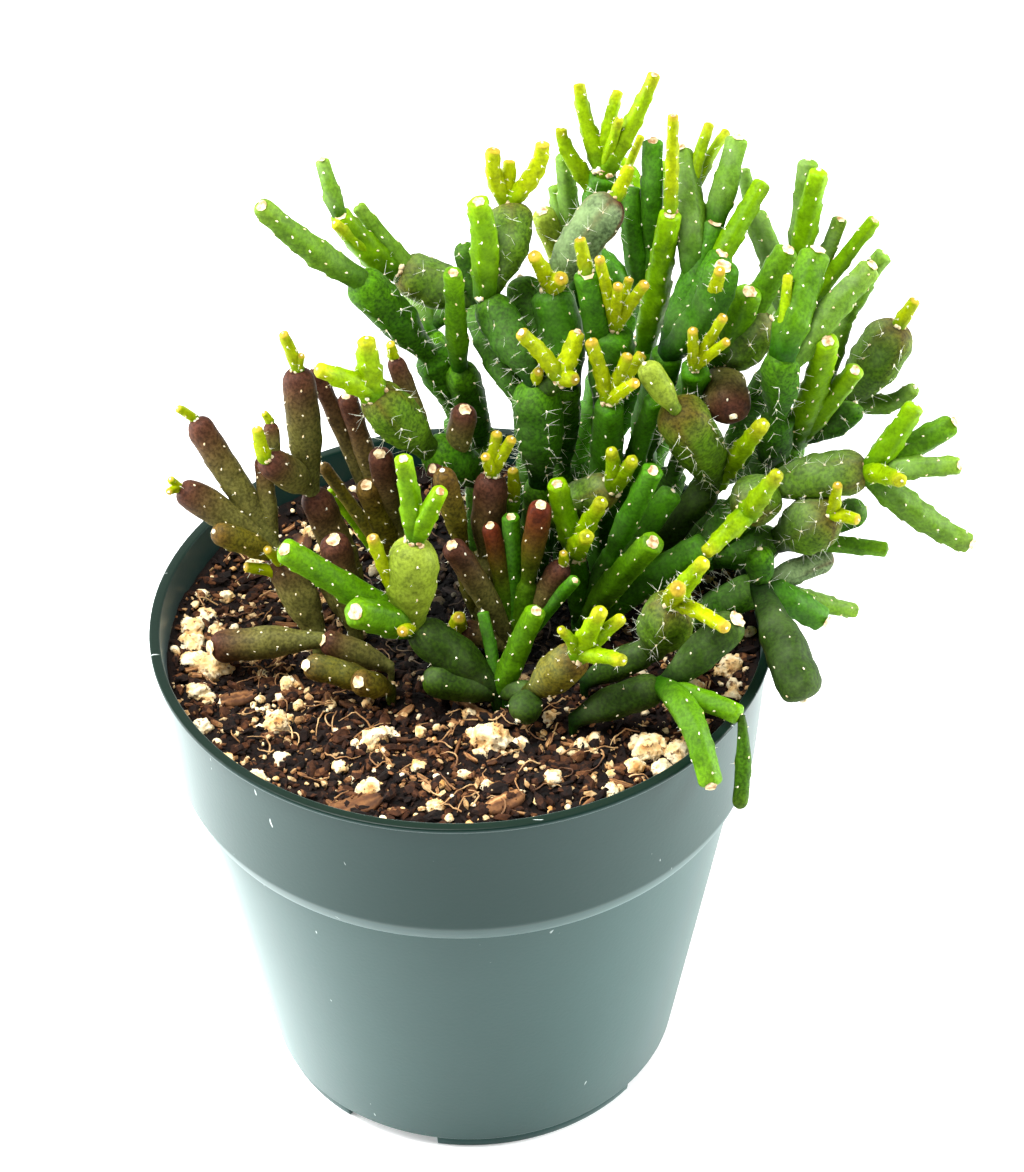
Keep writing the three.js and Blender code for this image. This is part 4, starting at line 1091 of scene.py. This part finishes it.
def grow_stem(node, slot, root, rows):
    """A stem with all that grows from one root, standing for its node."""
    pick = random.Random(node)
    grown = {}
    bm = bmesh.new()
    for row in rows:
        made = Bone(row, grown.get(row[1]), root, pick)
        grown[made.name] = made
        skin = made.shape()
        bm.from_mesh(skin)
        bpy.data.meshes.remove(skin)
        kind = made.look["areole"]
        for t, turn in made.areoles:
            set_down(bm, pick.choice(AREOLES[kind]), made.place_on_skin(t, turn))
        if made.scar:
            size = made.radius * (SCAR_SHARE - SCAR_TAPER * made.look["taper"])
            (way,) = bezier(made.path, [1])[1]
            lean = (Vector(way) + CUT_LEAN).normalized()
            aim = Vector((0, 0, 1)).rotation_difference(lean).to_matrix().to_4x4()
            middle = Vector(made.path[2] - way * CUT_HEIGHT * made.radius)
            rise = CUT_HEIGHT + CUT_RISE * (1 - lean.dot(Vector(way)))
            place = Matrix.Translation(middle + lean * rise * made.radius) @ aim
            set_down(bm, pick.choice(SCARS), place @ Matrix.Scale(size, 4))
        else:
            size = TUFT_LEAST + made.thick * (BUD_TUFT_SHARE if kind == "bud" else TUFT_SHARE)
            place = made.place_on_skin(1, 0, size)
            set_down(bm, pick.choice(AREOLES["tuft"]), place)
        if row[1] != ROOT and made.look["grain"] < 0.4 and row[5] == 1:
            add_crust(bm, made)
    hand_over(node, bm, STEM_FINISHES, slot, node)




# The stems at the left and in front: old maroon and olive cactus bones, dry and mottled, that lie
# low over the soil. Each stem grew from its own root, and its broken tips have healed to pale cork.
grow_stem("stem_lying_left", "stem_maroon", (-12, -8), [
    bone("low", ROOT, (-23.5, -6, 92.5), 4.5, MAROON, scar=True),
    bone("lying", "low", (-42, -5, 90.5), 5.7, MAROON, scar=True),
])
grow_stem("stem_front_left", "stem_olive", (-12, -14), [
    bone("facing", ROOT, (-17.5, -18, 93.5), 4.6, AGED, scar=True),
    bone("low", ROOT, (-26, -14, 94), 4.6, AGED, scar=True),
])
grow_stem("stem_left_clump", "stem_maroon", (-24, 0), [
    bone("foot", ROOT, (-31, 6, 102.5), 6.4, MAROON),
    bone("bud_a", "foot", (-36, 2, 102), 2.2, LIME, start=0.75),
    bone("bud_b", "foot", (-32, 1, 106.5), 1.9, LIME, start=0.78),
    bone("long", "foot", (-43.4, 14, 124), 5, MAROON),
    bone("long_bud", "long", (-46, 13, 127), 1.7, LIME),
    bone("left", "foot", (-46.4, 8, 114.3), 5.4, MAROON),
    bone("left_bud", "left", (-47.6, 7, 117), 1.6, LIME),
    bone("left_bud_b", "left", (-47.8, 5, 115.8), 1.6, LIME),
    bone("under", "foot", (-40.5, 1, 110.5), 4.3, AGED, start=0.9),
    bone("inner", "foot", (-32.5, 12, 117.5), 3.2, MAROON),
])
grow_stem("stem_left_tall", "stem_maroon", (-17, 9), [
    bone("foot", ROOT, (-24.5, 10, 111.5), 5.7, MAROON),
    bone("tall", "foot", (-25.8, 13, 134.5), 5.8, MAROON),
    bone("tall_bud", "tall", (-27.8, 12, 142.5), 2.2, LIME),
    bone("tall_bud_b", "tall", (-25, 12, 138), 1.6, LIME),
    bone("side", "foot", (-31.5, 4, 123), 5.6, MAROON),
    bone("side_up", "side", (-30.5, 8, 127.5), 2.8, MAROON, start=0.8),
    bone("side_bud", "side_up", (-31.5, 8, 129.5), 1.5, LIME),
    bone("side_lime", "side", (-32.5, 4, 129.5), 2.4, LIME),
])
grow_stem("stem_left_short", "stem_maroon", (-18, 1), [
    bone("stub", ROOT, (-21, 2, 108), 5.3, MAROON, scar=True),
    bone("stub_low", ROOT, (-25, 4, 102), 3.3, MAROON, scar=True),
])
grow_stem("stem_left_back", "stem_maroon", (-9, 12), [
    bone("olive", ROOT, (-15.5, 8, 114.5), 4.3, AGED, scar=True),
    bone("cut", ROOT, (-13, 8, 121), 4.4, MAROON, scar=True),
    bone("slim", ROOT, (-23.6, 20, 129.5), 3.1, MAROON),
    bone("slim_b", ROOT, (-18.5, 18, 125.5), 3.6, MAROON, scar=True),
    bone("brown", ROOT, (-23, 16, 112.5), 2.3, AGED),
    bone("green", ROOT, (-22, 17, 106.5), 3, BRIGHT),
])


# The stems in front: a bright pair on its fat dark bone, and low branches over the soil. Each bone
# is rooted in the tip or the side of the one that bore it.
grow_stem("stem_front", "stem_bright_green", (6, -16), [
    bone("branch", ROOT, (-8, -12, 100), 7.4, DUSK_SHADED),
    bone("long", "branch", (-28.5, -13, 118), 5.2, FRESH, scar=True),
    bone("facing", "branch", (-17.5, -18, 108.5), 6.1, FRESH, scar=True),
    bone("facing_bud", "branch", (-9.5, -18, 104), 2.4, LIME),
    bone("fat", "branch", (-7, -10, 116.5), 8.4, PALE),
    bone("pair_a", "fat", (-8.5, -9, 133), 3.8, BRIGHT, scar=True),
    bone("pair_b", "fat", (-2.5, -12, 128.5), 3.5, BRIGHT, scar=True),
    bone("side_bud", "branch", (-14, -11, 118.5), 2.6, LIME, scar=True),
    bone("under", ROOT, (-6.5, -17, 93), 5.9, DUSK_SHADED),
    bone("slim", ROOT, (3.5, -9, 100.5), 2.3, DEEP_SHADED),
    bone("bent", ROOT, (12.5, -14, 105), 4.4, FRESH, scar=True),
    bone("crown", ROOT, (11.5, -20, 92.5), 3.9, DUSK_SHADED),
    bone("stump", "crown", (9, -25, 90.5), 5.9, DUSK_SHADED),
    bone("olive", "crown", (19, -23, 103), 6.9, AGED),
    bone("fork_a", "olive", (22.5, -26, 114.5), 3.5, SPRING),
    bone("fork_b", "olive", (26, -25, 112), 2.9, SPRING),
    bone("fork_c", "olive", (16, -27, 111.5), 2.2, SPRING),
    bone("fork_d", "olive", (26, -31, 108), 2.9, SPRING),
])
grow_stem("stem_front_right", "stem_bright_green", (18, -23), [
    bone("lying", ROOT, (32.5, -23, 95.5), 6.2, DUSK_SHADED),
    bone("over_rim", "lying", (39.5, -42, 90.5), 4.8, FRESH, scar=True, bend=(37, -33, 101)),
    bone("over_rim_b", "lying", (45, -30, 95), 4, FRESH),
    bone("hanging", "over_rim_b", (44.5, -38, 82), 2.8, SHRIVELLED),
    bone("up", "lying", (45, -18, 105.5), 6.5, DUSK_SHADED, scar=True),
])
grow_stem("stem_front_fat", "stem_olive", (20, -13), [
    bone("low", ROOT, (31.5, -11, 93), 5.6, DUSK_SHADED),
    bone("fat", "low", (34.5, -14, 106), 9.1, OLIVE),
    bone("bud", "fat", (35, -21, 114.5), 3.5, LIME),
    bone("chain", "fat", (39.5, -16, 116), 3.5, SPRING),
    bone("slim", "fat", (42.5, -27, 111), 2.6, LIME),
])


# The stems in the middle: maroon and green fingers, then the fat dark bones, the oldest wood of the
# clump, that carry the crown.
grow_stem("stem_middle_red", "stem_maroon", (9, -4), [
    bone("leaning", ROOT, (-1.5, -4, 111), 4.3, MAROON, scar=True),
    bone("red", ROOT, (13.5, -2, 117.5), 4.1, RED, scar=True),
    bone("budded", ROOT, (17, -3, 105.5), 4.3, MAROON),
    bone("bud", "budded", (17, -4, 108.5), 1.8, LIME),
    bone("green", ROOT, (8.5, 0, 113.5), 3.6, DEEP_SHADED, scar=True),
    bone("short", ROOT, (5, -1, 112.5), 3.3, RED, scar=True),
    bone("slim", ROOT, (19, -6, 104.5), 2.6, DEEP_SHADED, scar=True),
    bone("stump", ROOT, (-0.5, -3, 92), 4.3, MAROON),
    bone("stump_bud", "stump", (-0.5, -5, 96), 3, LIME),
])
grow_stem("stem_middle_maroon", "stem_maroon", (3, 3), [
    bone("tall", ROOT, (-2.5, 0, 123), 4.1, AGED),
    bone("fat", ROOT, (5.5, 4, 119), 5.9, MAROON),
    bone("fork_a", "fat", (4.5, 1, 125), 2, LIME),
    bone("fork_b", "fat", (6.5, 4, 127.5), 2.3, LIME),
    bone("fork_c", "fat", (9, 3, 127), 2.3, LIME),
    bone("green", ROOT, (9, 7, 111.5), 3.6, FRESH),
    bone("green_bud", "green", (9, 7, 117.5), 2.3, LIME),
])
grow_stem("stem_middle_green", "stem_bright_green", (20, 3), [
    bone("long", ROOT, (32, 0, 122.5), 4.2, DEEP_SHADED, scar=True),
    bone("thick", ROOT, (32, -5, 111.5), 5.1, FRESH, scar=True),
    bone("dark", ROOT, (35.5, 8, 111.5), 5, DEEP_SHADED),
    bone("foot", ROOT, (19, 1.5, 104.5), 4, DEEP_SHADED),
    bone("fork_a", "foot", (16, 1, 119.5), 4.3, BRIGHT, scar=True),
    bone("fork_b", "foot", (23.5, -3, 118.5), 3.3, SPRING),
    bone("fork_c", "foot", (21, -6, 113.5), 3.6, SPRING),
    bone("right", ROOT, (41, 2, 104.5), 6, DEEP_SHADED),
])
grow_stem("stem_middle_tall", "stem_dark_green", (12, 12), [
    bone("foot", ROOT, (13.5, 10, 113), 6, DARK),
    bone("olive", "foot", (25.5, 5, 115), 6.9, OLIVE, start=0.65),
    bone("olive_fork_a", "olive", (25, 2, 125), 2.9, SPRING),
    bone("olive_fork_b", "olive", (28.5, 0, 124.5), 2.9, SPRING),
    bone("fat", "foot", (13, 11, 132.5), 8.8, DARK),
    bone("fat_bud", "fat", (13.5, 9, 136), 2.3, LIME),
    bone("knuckle", "fat", (17, 9, 134.5), 3.6, DUSK_SHADED, start=0.85),
    bone("knuckle_bud", "knuckle", (19.5, 6.5, 136), 2.8, LIME),
    bone("pair_a", "knuckle", (10.5, 9, 144), 2.9, LIME, scar=True),
    bone("pair_b", "knuckle", (20, 13, 141), 3.2, LIME, scar=True),
    bone("upper", "fat", (5, 20, 143), 7.2, DARK),
    bone("head", "upper", (9, 28, 156), 7.8, OLIVE, bend=(10, 24, 151.5)),
    bone("head_fork_a", "head", (7, 29, 166), 2.8, LIME, bend=(6, 28.5, 161)),
    bone("head_fork_b", "head", (9.5, 31, 162.5), 2.6, LIME),
    bone("head_fork_c", "head", (14.8, 29, 167), 3, LIME, bend=(14.9, 28.5, 161.5)),
    bone("upright", "upper", (4.2, 21, 161.7), 4.8, BRIGHT, scar=True, bend=(5.8, 20.5, 154.4)),
    bone("back", "fat", (3.5, 27, 137), 5.2, DARK, start=0.6, bend=(5.3, 19.2, 132)),
    bone("bump", "back", (1.7, 28, 148.4), 4.2, DARK, start=0.9),
    bone("across", "back", (-9.5, 28, 143), 8.2, OLIVE),
    bone("broad", "across", (-18.5, 27, 155.5), 4.9, BRIGHT, scar=True, bend=(-15.3, 27.5, 147.8)),
    bone("narrow", "across", (-19.2, 25, 155), 2.6, SPRING),
    bone("top", "broad", (-21, 31, 163.5), 3.2, LIGHT, scar=True),
    bone("light", "across", (-15.6, 31, 154.3), 3.3, LIGHT, start=0.75),
])
grow_stem("stem_left_fat", "stem_dark_green", (3, 13), [
    bone("foot", ROOT, (3.5, 11, 112.5), 5, DARK),
    bone("across", "foot", (-5, 8, 121.5), 8.2, DARK),
    bone("fat", "across", (-13.5, 6, 135), 8.4, OLIVE),
    bone("lime_left", "fat", (-22, 2, 142.5), 3.8, SPRING),
    bone("lime_up", "fat", (-14, 6, 145.5), 4.2, SPRING),
    bone("cut", "across", (1.5, 9, 129), 4.6, MAROON, scar=True, start=0.5),
    bone("bristly", "across", (-10, 13, 136.5), 3.3, MAROON, start=0.9),
    bone("bristly_bud", "bristly", (-10.5, 12, 140), 1.9, LIME),
    bone("maroon", "foot", (-4.5, 5, 119.5), 3.3, MAROON, scar=True),
])
grow_stem("stem_left_arm", "stem_dark_green", (3, 24), [
    bone("foot", ROOT, (4, 24, 113.5), 5.7, DARK),
    bone("arm", "foot", (-15.5, 18, 149), 7.3, DARK),
    bone("hand", "arm", (-30.4, 15, 165.6), 4.7, LIGHT, scar=True, bend=(-24, 16.5, 156)),
    bone("elbow", "foot", (0.5, 19, 130), 6.3, DARK, start=0.8),
    bone("upright", "elbow", (0, 15, 152), 3.9, FRESH, scar=True),
])


# The stems behind the middle: the high columns, and the lime crown of soft young buds that broke
# out of their tips.
grow_stem("stem_back_left", "stem_dark_green", (10, 34), [
    bone("column", ROOT, (20, 36, 131), 6.1, DARK),
    bone("blue_a", "column", (18.5, 40, 157.5), 3.9, GREEN),
    bone("blue_b", "column", (17, 43, 149.5), 3.3, GREEN),
    bone("olive", "column", (14.5, 38, 148), 4.3, PALE, scar=True),
    bone("crown", "column", (24.8, 35, 157), 5.6, DEEP_SHADED),
    bone("crown_a", "crown", (18, 37, 164.5), 2.7, SPRING, start=0.85, bend=(17.7, 36, 161)),
    bone("crown_b", "crown", (21, 41, 170.5), 2.9, SPRING, bend=(21.6, 38, 165)),
    bone("crown_c", "crown", (27.5, 41, 169), 2.6, SPRING, bend=(25.5, 38, 165)),
    bone("crown_d", "crown", (27.5, 35, 167.5), 2.1, SPRING),
    bone("crown_e", "crown", (33.3, 38, 174), 3.1, SPRING, scar=True, bend=(30.3, 36.5, 165.9)),
    bone("slim", "column", (31.5, 46, 157), 2, SPRING),
])
grow_stem("stem_back_column", "stem_dark_green", (22, 36), [
    bone("foot", ROOT, (31.5, 26, 128.5), 6, DEEP_SHADED),
    bone("column", "foot", (33, 37, 162), 4, DEEP_SHADED, scar=True),
    bone("side", "column", (29.4, 35, 154.2), 4, DEEP_SHADED, start=0.2, bend=(28.6, 30.5, 147.8)),
    bone("bright", "foot", (35.5, 27, 154.5), 4.8, BRIGHT, scar=True),
    bone("top", "bright", (36, 32, 170), 2.3, LIME, scar=True),
])
grow_stem("stem_back_middle", "stem_dark_green", (28, 28), [
    bone("foot", ROOT, (35, 18, 133), 6.3, DEEP_SHADED),
    bone("front", "foot", (43.6, 17, 151), 6.6, DEEP_SHADED, scar=True, bend=(42, 15, 140.5)),
    bone("front_bud", "front", (42.8, 12, 153.2), 2.4, LIME, start=0.65),
    bone("tall", "foot", (44, 25, 147.5), 4.9, DEEP_SHADED, scar=True),
    bone("left", "foot", (43, 30, 150), 5.4, DEEP_SHADED, scar=True),
    bone("back", "left", (37.3, 38, 159.2), 5.8, GREEN, start=0.6, bend=(38.7, 31.4, 154),
         scar=True),
    bone("blue", "left", (47, 38, 161.5), 4.6, GREEN, scar=True),
    bone("lime_a", "back", (42.5, 40, 163), 2.5, SPRING, start=0.55),
    bone("lime_b", "back", (45.5, 43, 159.5), 2.3, SPRING, start=0.55),
    bone("bright", "tall", (51, 33, 156), 4, BRIGHT, start=0.5),
])
grow_stem("stem_crown_back", "stem_dark_green", (17, 25), [
    bone("foot", ROOT, (18, 17, 129), 5.9, DARK),
    bone("fat", "foot", (16, 22, 143), 8.2, DEEP_SHADED),
    bone("head", "fat", (26.6, 28, 156.8), 7.7, GREY),
    bone("head_bud", "head", (29, 30, 161.5), 2.5, LIME),
    bone("web", "foot", (10.8, 27.5, 141.8), 6.6, DARK, start=0.9, bend=(13, 22, 134)),
    bone("lime_a", "fat", (13, 19, 152), 2.9, LIME),
    bone("lime_b", "fat", (17.5, 18, 148), 3.2, LIME),
])
grow_stem("stem_crown", "stem_dark_green", (24, 17), [
    bone("foot", ROOT, (25, 16, 125), 5.6, DARK),
    bone("fat", "foot", (26, 16, 139), 7.8, DEEP_SHADED),
    bone("fork_a", "fat", (23.5, 15, 154), 2.2, LIME),
    bone("fork_b", "fat", (26.5, 13, 150), 2.1, LIME),
    bone("fork_c", "fat", (28.5, 17, 148.5), 1.9, LIME),
    bone("fork_d", "fat", (31, 14, 149.5), 2.3, LIME),
    bone("left", "foot", (21.5, 16, 150.5), 4.8, DEEP_SHADED, scar=True),
    bone("left_bud", "left", (20.5, 17, 156.5), 2.4, LIME),
    bone("column", ROOT, (25, 9, 129.5), 5.9, DEEP_SHADED),
    bone("fan_a", "column", (22, 9, 142), 2.7, LIME),
    bone("fan_b", "column", (28, 9, 139), 2.4, LIME),
    bone("fan_c", "column", (30.5, 12, 137), 2.4, LIME),
    bone("fan_d", "column", (29, 2, 138.5), 2.2, LIME),
    bone("right", ROOT, (32.5, 11, 128.5), 3.9, DEEP_SHADED),
])


# The stems at the right: crowded green stems that lean out over the rim on feet of their own, some
# grey-green with a painted grey sheen and long bristles.
grow_stem("stem_right_inner", "stem_olive", (25, 10), [
    bone("foot", ROOT, (42.5, 13, 109), 5.7, DUSK_SHADED),
    bone("fat", "foot", (35.5, 4, 131.5), 9.1, OLIVE),
    bone("tip", "fat", (30.5, 5, 140), 4.3, PALE),
    bone("lime", "foot", (50, 5, 127.5), 3.6, SPRING),
])
grow_stem("stem_right_middle", "stem_olive", (31, 22), [
    bone("foot", ROOT, (43, 20, 127), 5.6, DARK),
    bone("green", "foot", (48.5, 21, 143), 5.9, FRESH, scar=True),
    bone("pale", "foot", (55, 26, 147.5), 5.2, FRESH, scar=True),
    bone("fat", "foot", (52, 21, 137), 7.8, OLIVE),
    bone("facing", "foot", (45.2, 8.2, 126.6), 8, MAROON),
    bone("knuckle", "foot", (39, 12.5, 133.5), 5.5, DEEP_SHADED, start=0.8),
    bone("fork_a", "knuckle", (38.5, 10, 143), 2.1, LIME),
    bone("fork_b", "knuckle", (43.5, 10, 145.5), 2.1, LIME),
    bone("fork_c", "knuckle", (44, 8, 142), 1.9, LIME),
])
grow_stem("stem_right_back", "stem_dark_green", (37, 27), [
    bone("foot", ROOT, (56, 28, 126.5), 4.9, DARK),
    bone("middle", "foot", (57, 31, 141), 4.6, GREEN),
    bone("behind", "middle", (50, 40, 145.2), 5.2, GREEN, start=0.3),
    bone("behind_top", "behind", (48.4, 44, 151.3), 2.8, GREEN),
    bone("twin_a", "middle", (58.5, 36, 158), 4.3, GREEN),
    bone("twin_b", "middle", (60, 33, 158), 4.3, BRIGHT),
    bone("green", "foot", (64, 33, 148.5), 3.5, LIGHT, scar=True),
    bone("slim", "green", (69.5, 31, 149.5), 3, BRIGHT, scar=True, start=0.3),
    bone("low", "foot", (65.5, 24, 117.5), 5, DARK, start=0.3),
    bone("blue", "low", (71, 29, 144), 4, GREEN, start=0.8, bend=(63.5, 27.5, 134.4)),
    bone("oval", "low", (73.5, 24, 133), 9, OLIVE),
    bone("oval_bud", "oval", (76, 24, 138), 2.5, LIME),
    bone("low_green", "low", (76.5, 22, 121.5), 3.6, LIGHT, bend=(72.9, 23, 115.5)),
])
grow_stem("stem_right_tall", "stem_dark_green", (38, 19), [
    bone("foot", ROOT, (56.5, 16, 115.5), 6.7, DARK),
    bone("fat", "foot", (53, 9, 138.5), 6.8, DARK, start=0.8),
    bone("broad", "fat", (59, 20, 151), 6.2, FRESH, scar=True),
    bone("narrow", "fat", (54, 15, 150), 2.3, SPRING),
    bone("leaning", "fat", (68, 19, 148.5), 5.4, LIGHT, scar=True, start=0.9),
    bone("bright_a", "foot", (60.5, 11, 140), 5.2, BRIGHT, scar=True),
    bone("bright_b", "foot", (65.5, 12, 133), 4.2, BRIGHT, scar=True),
    bone("dark", "foot", (66, 16, 123), 4.6, DARK, bend=(64.4, 14, 119.6)),
])
grow_stem("stem_right_fan", "stem_olive", (34, 9), [
    bone("foot", ROOT, (50.5, 9, 111), 6.7, DARK),
    bone("arm", "foot", (67.5, 6, 116.5), 8, OLIVE),
    bone("fan_a", "arm", (75, 8, 128.5), 4.4, BRIGHT),
    bone("fan_b", "arm", (82, 12, 121.5), 5, FRESH, scar=True),
    bone("fan_c", "arm", (82.5, 3, 119.5), 4.1, LIGHT, scar=True),
    bone("fan_d", "arm", (72, -4, 122), 3.2, SPRING),
    bone("fan_e", "arm", (85, 3, 102.8), 5, LIGHT, scar=True, bend=(76.2, 4.5, 106.8)),
    bone("low", "foot", (53.5, 7, 101.5), 7, DARK, start=0.4),
    bone("fat", "low", (61.4, 1.5, 111.2), 9.4, OLIVE),
    bone("fork_a", "fat", (62, 0, 118.5), 2.1, LIME),
    bone("fork_b", "fat", (65.5, -2, 112.5), 2.3, LIME),
    bone("stub", "low", (68, 10, 105.4), 5.4, DARK),
    bone("green", "low", (71.5, 5, 100.5), 3.3, FRESH),
    bone("facing", "foot", (47.5, 0, 113), 9, OLIVE),
    bone("lime_a", "facing", (52, -3, 123.5), 3.4, SPRING),
    bone("lime_b", "facing", (40, -7, 110), 3.3, SPRING),
])
grow_stem("stem_right_front", "stem_dark_green", (37, 2), [
    bone("foot", ROOT, (49.5, -1, 98), 6.3, DARK),
    bone("grey", "foot", (62.2, 6.8, 97.8), 4.4, GREY, start=0.95),
    bone("pad", "foot", (55.8, -22, 91), 8, DUSK_SHADED, bend=(53.3, -16.5, 96.7)),
    bone("light", "foot", (66.5, 4, 88), 3.7, LIGHT, bend=(60, 1.5, 91.6)),
    bone("dark", "foot", (60.5, -2, 91), 5.4, DEEP_SHADED, scar=True),
    bone("upright", "foot", (49.5, -1, 106), 5, DARK),
])


# The stems at the far side, which can't be seen from the front: plain green stems of the same
# growth that lean out and round the clump off.
grow_stem("stem_far_left", "stem_dark_green", (2, 42), [
    bone("foot", ROOT, (-5, 50, 115), 5.2, DARK),
    bone("left", "foot", (-10, 60, 124), 4.5, GREEN),
    bone("right", "foot", (4.5, 57, 121.5), 5.2, DARK),
    bone("tip", "right", (5, 61, 128), 3.1, BRIGHT),
])
grow_stem("stem_far_middle", "stem_dark_green", (18, 42), [
    bone("foot", ROOT, (30, 50, 120.5), 5.9, DEEP_SHADED),
    bone("left", "foot", (18, 56, 131.5), 5.9, DEEP_SHADED),
    bone("right", "foot", (34.5, 60, 131.5), 5.2, FRESH),
    bone("tip_a", "right", (28.5, 66, 139), 3.1, BRIGHT),
    bone("tip_b", "right", (36.5, 66, 138.5), 3.1, BRIGHT),
])
grow_stem("stem_far_right", "stem_dark_green", (30, 33), [
    bone("foot", ROOT, (47, 47, 114), 5.9, DARK, bend=(32, 35, 106)),
    bone("left", "foot", (45, 55, 123.5), 5.5, DARK),
    bone("right", "foot", (59, 52, 119.5), 5.2, GREEN),
])


# The stage: a plain pale floor that runs far back, and soft studio light from wide panels above
# and at both sides, with the camera where the photographer stood. Its sizes are in metres.
FLOOR_SIZE = 6.0
PAPER_WHITE = (0.93, 0.94, 0.95, 1)
SKY_WHITE = (1, 0.99, 0.97, 1)
CAMERA_PLACE = (-0.00855, -0.51587, 0.51832)
CAMERA_PITCH = math.radians(39.534)
CAMERA_ROLL = math.radians(-1.175)
CAMERA_LENS = 139.17
SENSOR_WIDTH = 36
SKY_FRONT = 0.2
SKY_BACK = 1.3

ground = bmesh.new()
bmesh.ops.create_grid(ground, x_segments=2, y_segments=2, size=FLOOR_SIZE / 2)
floor_mesh = bpy.data.meshes.new("studio_floor")
ground.to_mesh(floor_mesh)
ground.free()
floor = bpy.data.objects.new("studio_floor", floor_mesh)
bpy.context.scene.collection.objects.link(floor)
paper, _, paper_shader, _ = new_material("white_paper", 0.9, Specular_IOR_Level=0.1,
                                         Emission_Strength=0.25)
paper_shader.inputs["Base Color"].default_value = PAPER_WHITE
paper_shader.inputs["Emission Color"].default_value = (1, 1, 1, 1)
floor_mesh.materials.append(paper)


def panel(name, place, aim, size, power):
    """A soft light panel that faces a point."""
    lamp = bpy.data.lights.new(name, "AREA")
    lamp.shape = "RECTANGLE"
    lamp.size, lamp.size_y = size
    lamp.energy = power
    lit = bpy.data.objects.new(name, lamp)
    bpy.context.scene.collection.objects.link(lit)
    lit.location = place
    lit.rotation_euler = (Vector(aim) - Vector(place)).to_track_quat("-Z", "Y").to_euler()


panel("top_panel", (-0.35, -0.1, 1.1), (0, 0, 0.1), (0.6, 0.6), 25)
panel("left_panel", (-0.9, 0.15, 0.3), (0, 0, 0.08), (0.5, 0.6), 15)
panel("right_panel", (0.9, 0.1, 0.3), (0, 0, 0.08), (0.5, 0.6), 18)
bpy.context.scene.view_settings.view_transform = "Standard"
world = bpy.data.worlds.new("studio")
world.use_nodes = True
sky = world.node_tree
background = sky.nodes["Background"]
background.inputs["Color"].default_value = SKY_WHITE
facing = put(sky, "ShaderNodeTexCoord").outputs["Generated"]
away = put(sky, "ShaderNodeSeparateXYZ", {"Vector": facing}).outputs["Y"]
bright = put(sky, "ShaderNodeMapRange", {"Value": away, "From Min": -1, "To Min": SKY_FRONT,
                                         "To Max": SKY_BACK})
sky.links.new(bright.outputs[0], background.inputs["Strength"])
bpy.context.scene.world = world

forward = Vector((0, math.cos(CAMERA_PITCH), -math.sin(CAMERA_PITCH)))
level = Vector((1, 0, 0))
upward = Vector((0, math.sin(CAMERA_PITCH), math.cos(CAMERA_PITCH)))
right = level * math.cos(CAMERA_ROLL) + upward * math.sin(CAMERA_ROLL)
top = upward * math.cos(CAMERA_ROLL) - level * math.sin(CAMERA_ROLL)
camera_data = bpy.data.cameras.new("camera")
camera_data.lens = CAMERA_LENS
camera_data.sensor_width = SENSOR_WIDTH
camera_data.sensor_fit = "HORIZONTAL"
camera_data.clip_start = 0.01
camera = bpy.data.objects.new("camera", camera_data)
bpy.context.scene.collection.objects.link(camera)
turned = Matrix((right, top, -forward)).transposed().to_4x4()
camera.matrix_world = Matrix.Translation(CAMERA_PLACE) @ turned
bpy.context.scene.camera = camera
